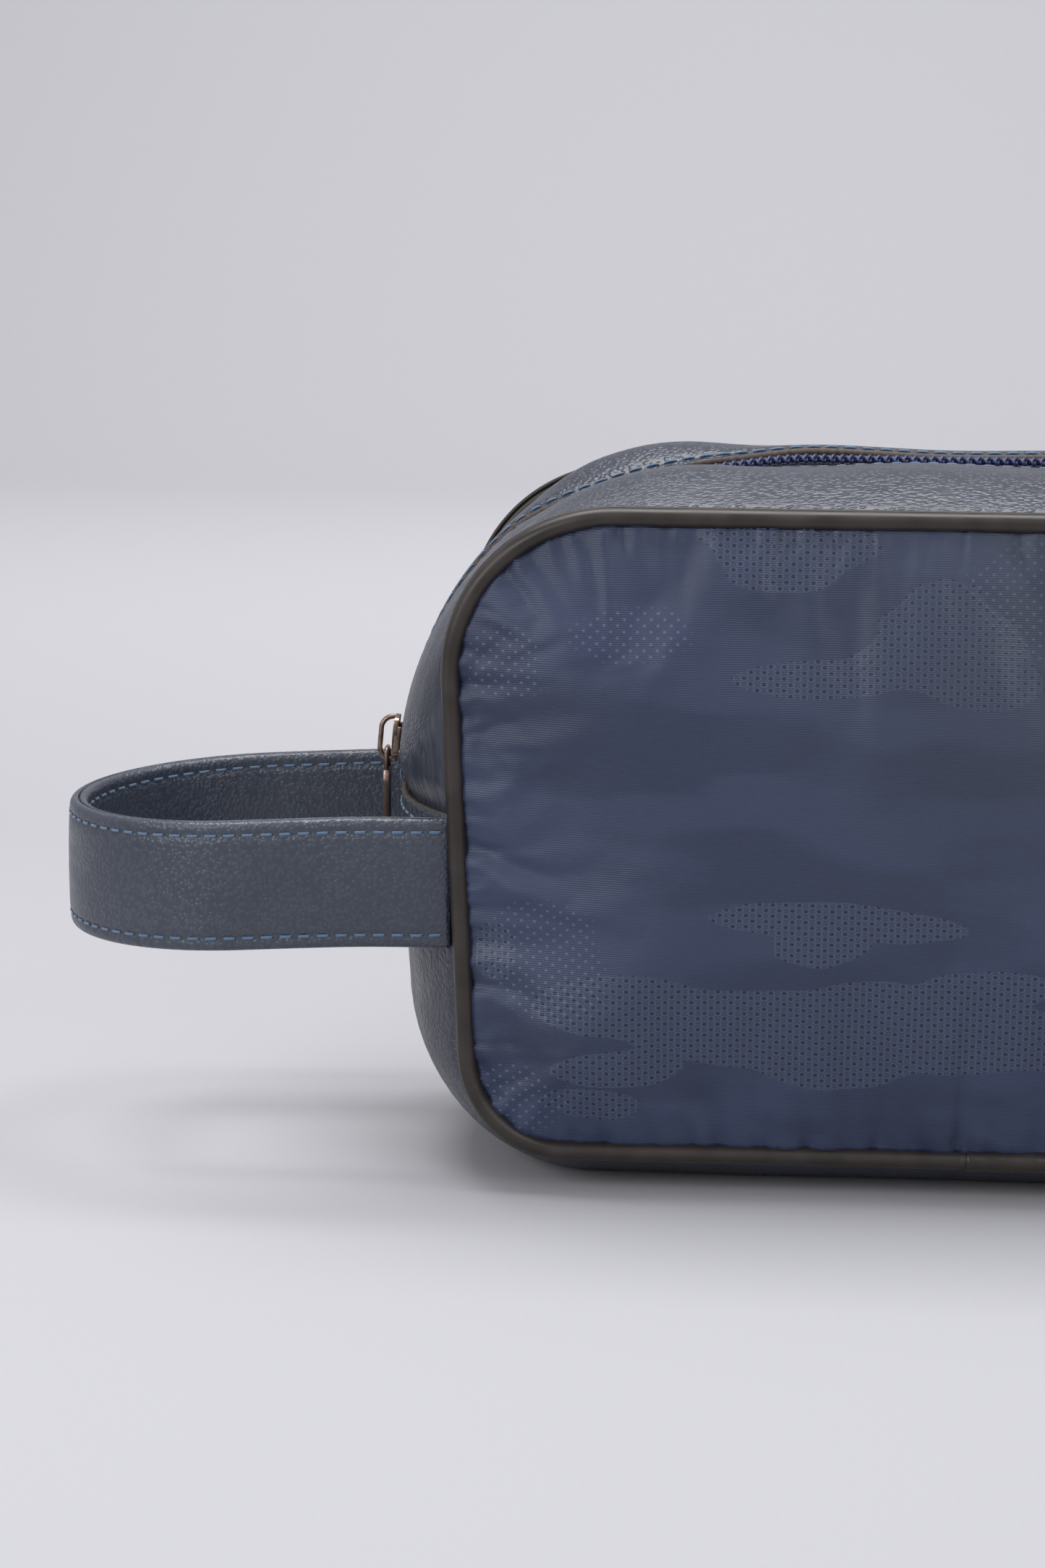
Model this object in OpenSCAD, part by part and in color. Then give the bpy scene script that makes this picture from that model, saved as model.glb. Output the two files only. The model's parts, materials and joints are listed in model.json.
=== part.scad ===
// Soft wash bag: two crowned padded panels with round piping, a leather gusset
// with a zip over the top, and a leather loop strap at the left end.
// Millimetres. X runs along the bag, the strap end is -X, the front face is -Y,
// +Z is up, and the origin is the middle of the base, on the ground.

/* [Bag] */
// Length over the piping
bag_len = 238; // [225:1:260]
// Height of the front face over the piping
face_h = 150; // [146:1:160]
// Depth between the two piping seams
bag_depth = 91; // [86:1:110]
// Height of the lowest piping above the ground
face_lift = 8; // [7:0.5:9]
// Radius of the lower corners of the face
low_corner_r = 22; // [18:1:30]
// Radius of the upper corners of the face
top_corner_r = 38; // [34:1:50]
// Height of the seam where the zip ends and the mouth folds
fold_z = 87.2; // [86.8:0.2:89]
// How far the ends of the gusset bulge past the seam line
end_bulge = 16.5; // [12:0.5:18]
// How far the top of the gusset rises past the seam line
top_bulge = 9.9; // [8:0.1:11]
// How far each padded panel stands proud of its seam
crown = 8; // [5:0.5:10]

/* [Materials] */
// Thickness of the gusset leather
leather_t = 1.6; // [1.2:0.1:2]
// Thickness of the panel fabric
fabric_t = 1.2; // [0.8:0.1:1.4]
// Thickness of the panel padding at its middle
foam_t = 5; // [3:0.5:6]
// Thickness of the lining
lining_t = 0.7; // [0.5:0.1:0.9]
// Radius of the piping
pipe_r = 2.1; // [1.9:0.1:2.4]
// Radius of the cord inside the piping
cord_r = 1.2; // [1:0.1:1.4]

/* [Zip] */
// Radius of the corner that the zip runs round
zip_arc_r = 75; // [74:0.5:76]
// Radius of one half of the zip coil
coil_r = 0.9; // [0.7:0.05:1]
// Half of the gap between the leather edges along the zip
zip_gap = 5; // [4.6:0.1:6]
// Angle of the closed slider above the start of the corner
slider_a = 4.5; // [4.5:0.5:9]
// Length of the slider along the zip
slider_len = 11.5; // [10:0.5:12]
// Length of the pull tab
tab_len = 20; // [16:1:24]

/* [Strap] */
// How far the loop reaches past the piping
strap_reach = 93; // [80:1:100]
// Height of the strap
strap_h = 30; // [26:1:30]
// Height of the strap's middle above the ground
strap_z = 71.5; // [70:0.5:71.5]
// How far the loop droops from level, in degrees
strap_droop = 3; // [0:0.5:5]
// Thickness of each leather layer of the strap
strap_layer_t = 2.2; // [1.8:0.1:2.4]
// Thickness of the webbing between the two layers
strap_core_t = 0.5; // [0.4:0.1:0.8]

/* [Hidden] */
$fn = 48;

navy = [0.16, 0.19, 0.27];
leather = [0.24, 0.27, 0.33];
bronze = [0.44, 0.38, 0.34];
inside = [0.30, 0.31, 0.34];
foam = [0.80, 0.80, 0.76];
cord_white = [0.85, 0.84, 0.80];

gap = 0.15;                       // half of the gap at the fold, and between layers
hx = bag_len / 2 - pipe_r;        // seam line: half length
zb = face_lift + pipe_r;          // seam line: bottom
zt = face_lift + face_h - pipe_r; // seam line: top
hd = bag_depth / 2;               // seam plane from the middle of the depth
mx = hx + end_bulge;              // gusset at mid-depth: half length
mt = zt + top_bulge;              // gusset at mid-depth: top
mb = -4;                          // gusset at mid-depth before the ground flattens it
low_mid_r = 48;                   // gusset at mid-depth: lower corner radius
arc_c = [-mx + zip_arc_r, mt - zip_arc_r]; // centre of the corner that the zip runs round
arc_n = 8;                        // steps in each corner
seam_gap = pipe_r + 0.2;          // panels and gusset stop this far from the piping centre
wall_pow = 2.8;                   // squareness of the gusset's cross-section
crown_w = 48;                     // width of the crowned border of a panel

// ---- outlines: each row is [x, z] and shares its index with its normal ----
function arc(c, r, a0, a1) =
    [for (i = [0 : arc_n]) let (a = a0 + (a1 - a0) * i / arc_n) c + r * [cos(a), sin(a)]];

function upper_line(x, top, r) = concat(
    [[-x, fold_z + gap]], arc([-x + r, top - r], r, 180, 90),
    arc([x - r, top - r], r, 90, 0), [[x, fold_z + gap]]);

function lower_line(x, low, r) = concat(
    [[-x, fold_z - gap]], arc([-x + r, low + r], r, 180, 270),
    [for (k = [-55, -10, 50]) [k, low]],
    arc([x - r, low + r], r, 270, 360), [[x, fold_z - gap]]);

up_normals = concat([[-1, 0]], arc([0, 0], 1, 180, 90), arc([0, 0], 1, 90, 0), [[1, 0]]);
low_normals = concat([[-1, 0]], arc([0, 0], 1, 180, 270), [[0, -1], [0, -1], [0, -1]],
                     arc([0, 0], 1, 270, 360), [[1, 0]]);
up_seam = upper_line(hx, zt, top_corner_r);
up_mid = upper_line(mx, mt, zip_arc_r);
low_seam = lower_line(hx, zb, low_corner_r);
low_mid = lower_line(mx, mb, low_mid_r);

// ---- a solid between two grids of points ----
module slab(outer, inner) {
    rows = len(outer);
    cols = len(outer[0]);
    n = rows * cols;
    pts = concat([for (r = outer) for (p = r) p], [for (r = inner) for (p = r) p]);
    function id(r, c) = r * cols + c;
    quads = concat(
        [for (r = [0 : rows - 2]) for (c = [0 : cols - 2])
            [id(r, c), id(r, c + 1), id(r + 1, c + 1), id(r + 1, c)]],
        [for (r = [0 : rows - 2]) for (c = [0 : cols - 2])
            [n + id(r, c), n + id(r + 1, c), n + id(r + 1, c + 1), n + id(r, c + 1)]],
        [for (c = [0 : cols - 2]) [id(0, c), n + id(0, c), n + id(0, c + 1), id(0, c + 1)]],
        [for (c = [0 : cols - 2])
            [id(rows - 1, c), id(rows - 1, c + 1), n + id(rows - 1, c + 1), n + id(rows - 1, c)]],
        [for (r = [0 : rows - 2]) [id(r, 0), id(r + 1, 0), n + id(r + 1, 0), n + id(r, 0)]],
        [for (r = [0 : rows - 2])
            [id(r, cols - 1), n + id(r, cols - 1), n + id(r + 1, cols - 1), id(r + 1, cols - 1)]]);
    polyhedron(points = pts,
               faces = [for (q = quads) for (t = [[q[0], q[1], q[2]], [q[0], q[2], q[3]]]) t]);
}

// ---- gusset: a crowned band between the two seams ----
function wall_w(y) = 1 - pow(abs(y) / hd, wall_pow);
function wall_point(seam, mid, n, y, inset) =
    let (p = seam + (mid - seam) * wall_w(y) - n * inset) [p[0], y, max(p[1], inset)];
function wall_grid(seam, mid, normals, ys, inset) =
    [for (y = ys) [for (i = [0 : len(seam) - 1])
        wall_point(seam[i], mid[i], normals[i], y, inset)]];

edge_y = hd - seam_gap;
function depths(from, to, n) = [for (i = [0 : n]) from + (to - from) * (i / n)];

module lower_band(y_edge, inset, t) {
    ys = depths(-y_edge, y_edge, 9);
    slab(wall_grid(low_seam, low_mid, low_normals, ys, inset),
         wall_grid(low_seam, low_mid, low_normals, ys, inset + t));
}

module upper_band(y0, y1, inset, t) {
    ys = depths(y0, y1, 5);
    slab(wall_grid(up_seam, up_mid, up_normals, ys, inset + t),
         wall_grid(up_seam, up_mid, up_normals, ys, inset));
}

// ---- panels: crowned sheets inside the piping ----
function corner_r(z) = z > fold_z ? top_corner_r : low_corner_r;
function edge_depth(x, z) =
    let (r = corner_r(z), mid = (zt + zb) / 2,
         qx = abs(x) - (hx - r), qz = abs(z - mid) - ((zt - zb) / 2 - r))
    r - norm([max(qx, 0), max(qz, 0)]) - min(max(qx, qz), 0);
function puff(x, z) = 1 - pow(1 - min(max(edge_depth(x, z) / crown_w, 0), 1), 2.2);

panel_cols = [for (k = [-3 : 3]) k * 21];
function panel_tops(inset) = let (r = top_corner_r - inset, c = [hx - top_corner_r, zt - top_corner_r])
    concat(arc([-c[0], c[1]], r, 180, 90), [for (x = [-40, 0, 40]) [x, zt - inset]],
           arc(c, r, 90, 0));
function panel_lows(inset) = let (r = low_corner_r - inset, c = [hx - low_corner_r, zb + low_corner_r])
    concat(arc([-c[0], c[1]], r, 180, 270), [for (x = panel_cols) [x, zb + inset]],
           arc(c, r, 270, 360));
rows_t = [0, 0.3, 0.55, 0.75, 0.9, 1];

// Depth of a layer: fixed part plus a part that follows the crown
function sheet_grid(edge, z0, fixed, puffed) =
    [for (t = rows_t) [for (p = edge) let (z = z0 + (p[1] - z0) * t)
        [p[0], -(hd + crown * puff(p[0], z)) + fixed + puffed * puff(p[0], z), z]]];

module upper_sheet(inset, d0, p0, d1, p1) {
    edge = panel_tops(inset);
    slab(sheet_grid(edge, fold_z + gap, d1, p1), sheet_grid(edge, fold_z + gap, d0, p0));
}

module lower_sheet(inset, d0, p0, d1, p1) {
    edge = panel_lows(inset);
    slab(sheet_grid(edge, fold_z - gap, d0, p0), sheet_grid(edge, fold_z - gap, d1, p1));
}

foam_edge = 0.6;
foam_d0 = fabric_t + gap;
lining_d0 = foam_d0 + foam_edge + gap;
foam_puff = foam_t - foam_edge;
inner_inset = seam_gap + 1.4;

module at_back() { mirror([0, 1, 0]) children(); }

module panel_upper() { color(navy) upper_sheet(seam_gap, 0, 0, fabric_t, 0); }
module panel_lower() { color(navy) lower_sheet(seam_gap, 0, 0, fabric_t, 0); }
module padding_upper() {
    color(foam) upper_sheet(inner_inset, foam_d0, 0, foam_d0 + foam_edge, foam_puff);
}
module padding_lower() {
    color(foam) lower_sheet(inner_inset, foam_d0, 0, foam_d0 + foam_edge, foam_puff);
}
module lining_upper() {
    color(inside) upper_sheet(inner_inset, lining_d0, foam_puff, lining_d0 + lining_t, foam_puff);
}
module lining_lower() {
    color(inside) lower_sheet(inner_inset, lining_d0, foam_puff, lining_d0 + lining_t, foam_puff);
}

// ---- piping: a tube along the seam line, with a cord inside ----
module corner_sweep(c, r, from) {
    translate([c[0], -hd, c[1]]) rotate([90, 0, 0]) rotate([0, 0, from])
        rotate_extrude(angle = 90, $fn = 96) translate([r, 0]) children();
}
module post_sweep(z0, z1) { translate([-hx, -hd, z0]) linear_extrude(z1 - z0) children(); }
module beam_sweep(half, z) {
    translate([-half, -hd, z]) rotate([0, 90, 0]) linear_extrude(2 * half) children();
}
module upper_run() {
    r = top_corner_r;
    for (m = [0, 1]) mirror([m, 0, 0]) {
        post_sweep(fold_z + gap, zt - r) children();
        corner_sweep([-hx + r, zt - r], r, 90) children();
    }
    beam_sweep(hx - r, zt) children();
}
module lower_run() {
    r = low_corner_r;
    for (m = [0, 1]) mirror([m, 0, 0]) {
        post_sweep(zb + r, fold_z - gap) children();
        corner_sweep([-hx + r, zb + r], r, 180) children();
    }
    beam_sweep(hx - r, zb) children();
}
module welt() {
    difference() {
        circle(pipe_r);
        circle(cord_r + 0.05);
    }
}
module piping_upper() { color(bronze) upper_run() welt(); }
module piping_lower() { color(bronze) lower_run() welt(); }
module piping_cord_upper() { color(cord_white) upper_run() circle(cord_r); }
module piping_cord_lower() { color(cord_white) lower_run() circle(cord_r); }

// ---- zip: profiles are [distance from the arc centre, depth towards the front] ----
coil_rad = zip_arc_r - 1.8;       // middle of the coil from the arc centre
tape_t = 0.5;                     // thickness of the zip tape
tape_rad = coil_rad - coil_r - tape_t - 0.1; // inner face of the tape
coil_gap = 0.55;                  // half of the gap that the slider's post runs in
tape_edge = 15;                   // width of the tape from the middle

module zip_run() {
    for (m = [0, 1]) mirror([m, 0, 0]) {
        translate([arc_c[0], 0, arc_c[1]]) rotate([90, 0, 0]) rotate([0, 0, 90])
            rotate_extrude(angle = 90, $fn = 128) children();
        translate([arc_c[0], 0, fold_z + gap]) rotate([0, 0, 180])
            linear_extrude(arc_c[1] - fold_z - gap) children();
    }
    translate([arc_c[0], 0, arc_c[1]]) rotate(a = 180, v = [1, 0, 1])
        linear_extrude(-2 * arc_c[0]) children();
}
module zip_coil() { color(navy) zip_run() translate([coil_rad, coil_gap + coil_r]) circle(coil_r); }
module zip_tape() {
    color(navy) zip_run() translate([tape_rad, coil_gap]) square([tape_t, tape_edge - coil_gap]);
}

// ---- slider, bail and pull tab ----
plate_rad = zip_arc_r + 1.2;      // inner face of the outer plate
plate_t = 1;                      // thickness of the outer plate
under_rad = tape_rad - 2;         // inner face of the inner plate
under_t = 0.9;                    // thickness of the inner plate
slider_half_a = slider_len / 2 / zip_arc_r * 180 / PI;
post_t = 0.5;                     // thickness of the post between the coils
bail_r = 0.6;                     // radius of the bail's wire
bail_h = 3;                       // height of the bail's wire above the plate
bail_half = 2.2;                  // half of the bail's straight stretch
bar_r = 0.7;                      // radius of the pull tab's crossbar
bar_out = 1.2;                    // crossbar above the plate
bar_down = 2.6;                   // crossbar below the middle of the bail
tab_w = 7;                        // width of the pull tab
tab_t = 1.2;                      // thickness of the pull tab
eye_w = 2.6;                      // width of the window that the bail passes through
eye_len = 5.2;                    // length of the window from the crossbar

module slider_arc(a0, a1) {
    translate([arc_c[0], 0, arc_c[1]]) rotate([90, 0, 0]) rotate([0, 0, 180 - a1])
        rotate_extrude(angle = a1 - a0, $fn = 128) children();
}
module at_slider(rad) {
    translate([arc_c[0], 0, arc_c[1]]) rotate([0, slider_a, 0]) translate([-rad, 0, 0]) children();
}
module slider_body() {
    a0 = slider_a - slider_half_a;
    a1 = slider_a + slider_half_a;
    color(bronze) {
        slider_arc(a0, a1) translate([plate_rad, -4]) square([plate_t, 8]);
        slider_arc(a0, a1) translate([under_rad, -3.6]) square([under_t, 7.2]);
        slider_arc(a0, a0 + slider_half_a) translate([under_rad, -post_t / 2])
            square([plate_rad + plate_t - under_rad, post_t]);
    }
}
module slider_bail() {
    color(bronze) at_slider(plate_rad + plate_t) {
        for (m = [0, 1]) mirror([0, 0, m]) translate([0, 0, bail_half]) rotate([90, 0, 0])
            rotate([0, 0, 90]) rotate_extrude(angle = 90) translate([bail_h, 0]) circle(bail_r);
        translate([-bail_h, 0, -bail_half]) cylinder(r = bail_r, h = 2 * bail_half);
    }
}
// The crossbar is the axis that the tab swings on; the tab hangs straight down
bar_rad = plate_rad + plate_t + bar_out;
bar_x = arc_c[0] - bar_rad * cos(slider_a) - bar_down * sin(slider_a);
bar_z = arc_c[1] + bar_rad * sin(slider_a) - bar_down * cos(slider_a);
module pull_tab() {
    color(bronze) translate([bar_x, 0, bar_z]) {
        rotate([90, 0, 0]) cylinder(r = bar_r, h = tab_w - 1, center = true);
        difference() {
            translate([-tab_t / 2, 0, 0]) rotate([0, 90, 0]) linear_extrude(tab_t) {
                translate([0, -tab_w / 2 + 0.5]) square([eye_len, tab_w - 1]);
                translate([eye_len, -tab_w / 2]) square([tab_len - eye_len - tab_w / 2, tab_w]);
                translate([tab_len - tab_w / 2, 0]) circle(tab_w / 2);
            }
            translate([-tab_t, -eye_w / 2, -eye_len]) cube([2 * tab_t, eye_w, eye_len - bar_r]);
        }
    }
}

// ---- strap: a loop of two leather layers sewn into both seams ----
strap_t = 2 * strap_layer_t + strap_core_t;
leg_y = hd - 0.5 - strap_t / 2;   // middle of each leg's thickness
loop_r = leg_y;                   // the loop's end is half a circle
loop_x = -bag_len / 2 - strap_reach + loop_r + strap_t / 2;
pivot_x = -hx - 22;               // the legs bend here
hinge_r = strap_h / 2;            // round end of each leg, about the pivot
seam_x = -hx - pipe_r - 0.3;      // the legs leave the seam here
tab_cut = 9;                      // the sewn-in ends stop this far from the pivot

// One layer of the loop between two distances from its middle line
module loop_layer(d0, d1) {
    translate([0, 0, strap_z - strap_h / 2]) linear_extrude(strap_h) {
        difference() {
            translate([loop_x, 0]) circle(loop_r + d1, $fn = 128);
            translate([loop_x, 0]) circle(loop_r + d0, $fn = 128);
            translate([loop_x, -2 * hd]) square(4 * hd);
        }
        for (s = [-1, 1]) translate([loop_x, s > 0 ? loop_r + d0 : -loop_r - d1])
            square([pivot_x - loop_x, d1 - d0]);
    }
    for (s = [-1, 1]) translate([pivot_x, s > 0 ? loop_r + d1 : -loop_r - d0, strap_z])
        rotate([90, 0, 0]) cylinder(r = hinge_r, h = d1 - d0);
}
module drooped() {
    translate([pivot_x, 0, strap_z]) rotate([0, -strap_droop, 0])
        translate([-pivot_x, 0, -strap_z]) children();
}
module strap_outer_layer() {
    color(leather) drooped() loop_layer(strap_core_t / 2, strap_t / 2);
}
module strap_core() {
    color(cord_white) drooped() loop_layer(-strap_core_t / 2 + 0.02, strap_core_t / 2 - 0.02);
}
module strap_inner_layer() {
    color(leather) drooped() loop_layer(-strap_t / 2, -strap_core_t / 2);
}

// The sewn-in end of a leg, cut back round the leg's round end
module strap_tab() {
    color(leather) difference() {
        translate([pivot_x + tab_cut, -leg_y - strap_t / 2, strap_z - strap_h / 2])
            cube([seam_x - pivot_x - tab_cut, strap_t, strap_h]);
        translate([pivot_x, 0, strap_z]) rotate([90, 0, 0])
            cylinder(r = hinge_r + 0.3, h = 2 * hd, $fn = 96);
    }
}

// ---- lower gusset ----
module lower_gusset() { color(leather) lower_band(edge_y, 0, leather_t); }
pad_t = 3;                        // thickness of the padding in the base
module base_padding() {
    color(foam) translate([-75, -23, leather_t + gap]) cube([150, 46, pad_t]);
}
module lower_gusset_lining() {
    color(inside) lower_band(edge_y - 1.4, leather_t + pad_t + 2 * gap, lining_t);
}
module gusset_half() { color(leather) upper_band(-edge_y, -zip_gap, 0, leather_t); }
module gusset_half_lining() {
    color(inside) upper_band(-edge_y + 1.4, -tape_edge - 1, leather_t + gap, lining_t);
}

lower_gusset();
lower_gusset_lining();
base_padding();
panel_lower();  // front_panel_lower
padding_lower();  // front_padding_lower
lining_lower();  // front_lining_lower
at_back() panel_lower();  // back_panel_lower
at_back() padding_lower();  // back_padding_lower
at_back() lining_lower();  // back_lining_lower
piping_lower();  // front_piping_lower
piping_cord_lower();  // front_piping_cord_lower
at_back() piping_lower();  // back_piping_lower
at_back() piping_cord_lower();  // back_piping_cord_lower
strap_tab();  // strap_tab_front
at_back() strap_tab();  // strap_tab_back
panel_upper();  // front_panel_upper
padding_upper();  // front_padding_upper
lining_upper();  // front_lining_upper
piping_upper();  // front_piping_upper
piping_cord_upper();  // front_piping_cord_upper
gusset_half();  // gusset_front
gusset_half_lining();  // gusset_front_lining
zip_tape();  // zip_tape_front
zip_coil();  // zip_coil_front
at_back() panel_upper();  // back_panel_upper
at_back() padding_upper();  // back_padding_upper
at_back() lining_upper();  // back_lining_upper
at_back() piping_upper();  // back_piping_upper
at_back() piping_cord_upper();  // back_piping_cord_upper
at_back() gusset_half();  // gusset_back
at_back() gusset_half_lining();  // gusset_back_lining
at_back() zip_tape();  // zip_tape_back
at_back() zip_coil();  // zip_coil_back
slider_body();
slider_bail();
pull_tab();
strap_outer_layer();
strap_core();
strap_inner_layer();
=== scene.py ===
"""Looks of the wash bag: padded panels, piping, leather gusset, zip, slider and loop strap."""
import json
import math

import bmesh
import bpy
import numpy as np
from mathutils import Matrix, Vector


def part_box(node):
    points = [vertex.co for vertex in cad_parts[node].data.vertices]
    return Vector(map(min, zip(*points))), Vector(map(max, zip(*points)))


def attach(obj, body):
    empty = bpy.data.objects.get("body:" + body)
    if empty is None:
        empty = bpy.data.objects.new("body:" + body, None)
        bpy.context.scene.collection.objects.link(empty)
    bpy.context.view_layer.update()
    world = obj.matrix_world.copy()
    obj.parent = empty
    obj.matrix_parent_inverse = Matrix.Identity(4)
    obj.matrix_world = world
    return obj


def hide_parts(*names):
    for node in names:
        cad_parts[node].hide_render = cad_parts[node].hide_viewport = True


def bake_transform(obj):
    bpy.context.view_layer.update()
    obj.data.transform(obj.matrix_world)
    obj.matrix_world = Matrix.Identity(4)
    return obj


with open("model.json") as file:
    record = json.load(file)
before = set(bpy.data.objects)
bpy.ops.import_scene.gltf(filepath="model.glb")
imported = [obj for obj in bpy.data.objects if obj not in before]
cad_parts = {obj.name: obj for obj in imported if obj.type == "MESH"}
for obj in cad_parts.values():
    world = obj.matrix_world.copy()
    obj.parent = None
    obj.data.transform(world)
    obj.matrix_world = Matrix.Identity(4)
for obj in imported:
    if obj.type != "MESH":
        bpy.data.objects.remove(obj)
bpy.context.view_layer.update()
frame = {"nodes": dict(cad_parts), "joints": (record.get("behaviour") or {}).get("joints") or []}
MM = 0.001

# ---------------------------------------------------------------- sizes, all from the frame
PIPE_LO, PIPE_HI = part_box("front_piping_lower")
TOP_LO, TOP_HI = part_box("front_piping_upper")
PIPE_R = (PIPE_HI.y - PIPE_LO.y) / 2
HX = PIPE_HI.x - PIPE_R
HD = -(PIPE_LO.y + PIPE_HI.y) / 2
ZB = PIPE_LO.z + PIPE_R
ZT = TOP_HI.z - PIPE_R
ZM = (ZB + ZT) / 2
FOLD = (PIPE_HI.z + TOP_LO.z) / 2
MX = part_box("lower_gusset")[1].x
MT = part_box("gusset_front")[1].z
CROWN = -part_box("front_panel_lower")[0].y - HD
JOINTS = {j["name"]: j for j in frame["joints"]}

LOW_R = 22 * MM            # lower corners of the face
TOP_R = 38 * MM            # upper corners of the face
MID_LOW_R = 48 * MM        # lower corners of the gusset at mid-depth
MID_TOP_R = 75 * MM        # upper corners of the gusset at mid-depth
MID_LEAN = 3.2 * MM        # the ends of the gusset lean in by this much lower down
TAPER = 0.42               # the face is this much wider per metre of height
LEATHER_T = 1.6 * MM
ZIP_EDGE = 4.4 * MM        # leather edges stop this far from the middle of the zip
ZIP_RECESS = 4.2 * MM      # the zip's line is drawn in by this much at the upper corners
SLIDER_STOP = 47           # degrees up the corner that the slider, with half its length, can reach
STITCH_IN = 2.3 * MM       # stitch rows beside the zip are this far from the leather edge
WALL_POW = 2.6             # squareness of the gusset's cross-section
STITCH_PITCH = 4.2 * MM
STITCH_LENGTH = 3.5 * MM   # with the sunken ends
THREAD_R = 0.36 * MM


# ---------------------------------------------------------------- outlines
def half_outline(half_low, half_top, low, top, r_low, r_top):
    """Right half of a rounded outline, from the bottom middle to the top middle: points and normals."""
    pts, nrm = [], []

    def line(p, q, n, count):
        for t in np.linspace(0, 1, count, endpoint=False):
            pts.append((p[0] + (q[0] - p[0]) * t, p[1] + (q[1] - p[1]) * t))
            nrm.append(n)

    def turn(cx, cz, r, a0, a1, count):
        for a in np.radians(np.linspace(a0, a1, count, endpoint=False)):
            pts.append((cx + r * math.cos(a), cz + r * math.sin(a)))
            nrm.append((math.cos(a), math.sin(a)))

    line((0, low), (half_low - r_low, low), (0, -1), 24)
    turn(half_low - r_low, low + r_low, r_low, -90, 0, 18)
    at_fold = half_low + (half_top - half_low) * (FOLD - low - r_low) / (top - r_top - low - r_low)
    line((half_low, low + r_low), (at_fold, FOLD), (1, 0), 14)
    line((at_fold, FOLD), (half_top, top - r_top), (1, 0), 10)
    turn(half_top - r_top, top - r_top, r_top, 0, 90, 34)
    line((half_top - r_top, top), (0, top), (0, 1), 18)
    pts.append((0, top))
    nrm.append((0, 1))
    return np.array(pts), np.array(nrm)


def closed(half):
    """The whole outline from its right half, anticlockwise from the bottom middle."""
    mirrored = half[-2:0:-1] * np.array([-1, 1])
    return np.vstack([half, mirrored])


def tapered(x, z):
    return x * (1 + TAPER * (z - ZM))


SEAM_HALF, NORMAL_HALF = half_outline(HX, HX, ZB, ZT, LOW_R, TOP_R)
MID_HALF, _ = half_outline(MX - MID_LEAN, MX, -4 * MM, MT, MID_LOW_R, MID_TOP_R)
FOLD_I = 24 + 18 + 14      # index of the fold in a half outline
SEAM = closed(SEAM_HALF)
SEAM[:, 0] = tapered(SEAM[:, 0], SEAM[:, 1])
MID = closed(MID_HALF)
NORMAL = closed(NORMAL_HALF)
COUNT = len(SEAM)


def arc_length(points):
    steps = np.linalg.norm(np.diff(points, axis=0), axis=1)
    return np.concatenate([[0], np.cumsum(steps)])


SEAM_S = arc_length(SEAM)


def wobble(s, wavelength, seed):
    """A smooth uneven ripple of s with roughly this wavelength, from -1 to 1."""
    waves = 5
    rng = np.random.default_rng(seed)
    total = np.zeros_like(s, dtype=float)
    for _ in range(waves):
        k = 2 * math.pi / (wavelength * rng.uniform(0.7, 1.5))
        total += np.sin(k * s + rng.uniform(0, 2 * math.pi))
    return total / waves ** 0.5 / 1.5


# ---------------------------------------------------------------- meshes
def make_object(name, verts, faces, uvs=None, mats=(), mat_index=None):
    """A smooth-shaded mesh object; uvs is one (u, v) per vertex, in metres along the piece."""
    mesh = bpy.data.meshes.new(name)
    mesh.from_pydata([tuple(map(float, v)) for v in verts], [], [tuple(map(int, f)) for f in faces])
    mesh.update()
    for m in mats:
        mesh.materials.append(m)
    if mat_index is not None:
        mesh.polygons.foreach_set("material_index", np.asarray(mat_index, dtype=np.int32))
    mesh.polygons.foreach_set("use_smooth", np.ones(len(mesh.polygons), dtype=bool))
    if uvs is not None:
        layer = mesh.uv_layers.new(name="cut")
        loops = np.zeros(len(mesh.loops), dtype=np.int32)
        mesh.loops.foreach_get("vertex_index", loops)
        layer.data.foreach_set("uv", np.asarray(uvs, dtype=np.float32)[loops].ravel())
    obj = bpy.data.objects.new(name, mesh)
    bpy.context.scene.collection.objects.link(obj)
    return obj


def face_outwards(obj):
    """Turns every face to point out of the closed solids of a mesh."""
    bm = bmesh.new()
    bm.from_mesh(obj.data)
    bmesh.ops.recalc_face_normals(bm, faces=bm.faces)
    bm.to_mesh(obj.data)
    bm.free()
    return obj


def slab(name, outer, inner, uv, mats, back=0, rim=0):
    """A closed solid between two grids of points (rows, cols, 3). uv is (rows, cols, 2).

    back and rim are the materials of the inner face and of the four edges.
    """
    rows, cols = outer.shape[:2]
    n = rows * cols
    grid = np.arange(n).reshape(rows, cols)
    a, b, c, d = grid[:-1, :-1], grid[:-1, 1:], grid[1:, 1:], grid[1:, :-1]
    front = np.stack([a, b, c, d], -1).reshape(-1, 4)
    faces = [front, front[:, ::-1] + n]
    index = [np.full(len(front), 0), np.full(len(front), back)]
    for edge in (grid[0], grid[-1][::-1], grid[:, 0][::-1], grid[:, -1]):
        quad = np.stack([edge[:-1], edge[:-1] + n, edge[1:] + n, edge[1:]], -1)
        faces.append(quad)
        index.append(np.full(len(quad), rim))
    verts = np.vstack([outer.reshape(-1, 3), inner.reshape(-1, 3)])
    uvs = np.vstack([uv.reshape(-1, 2), uv.reshape(-1, 2)])
    obj = make_object(name, verts, np.vstack(faces), uvs, mats, np.concatenate(index))
    return face_outwards(obj)


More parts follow.
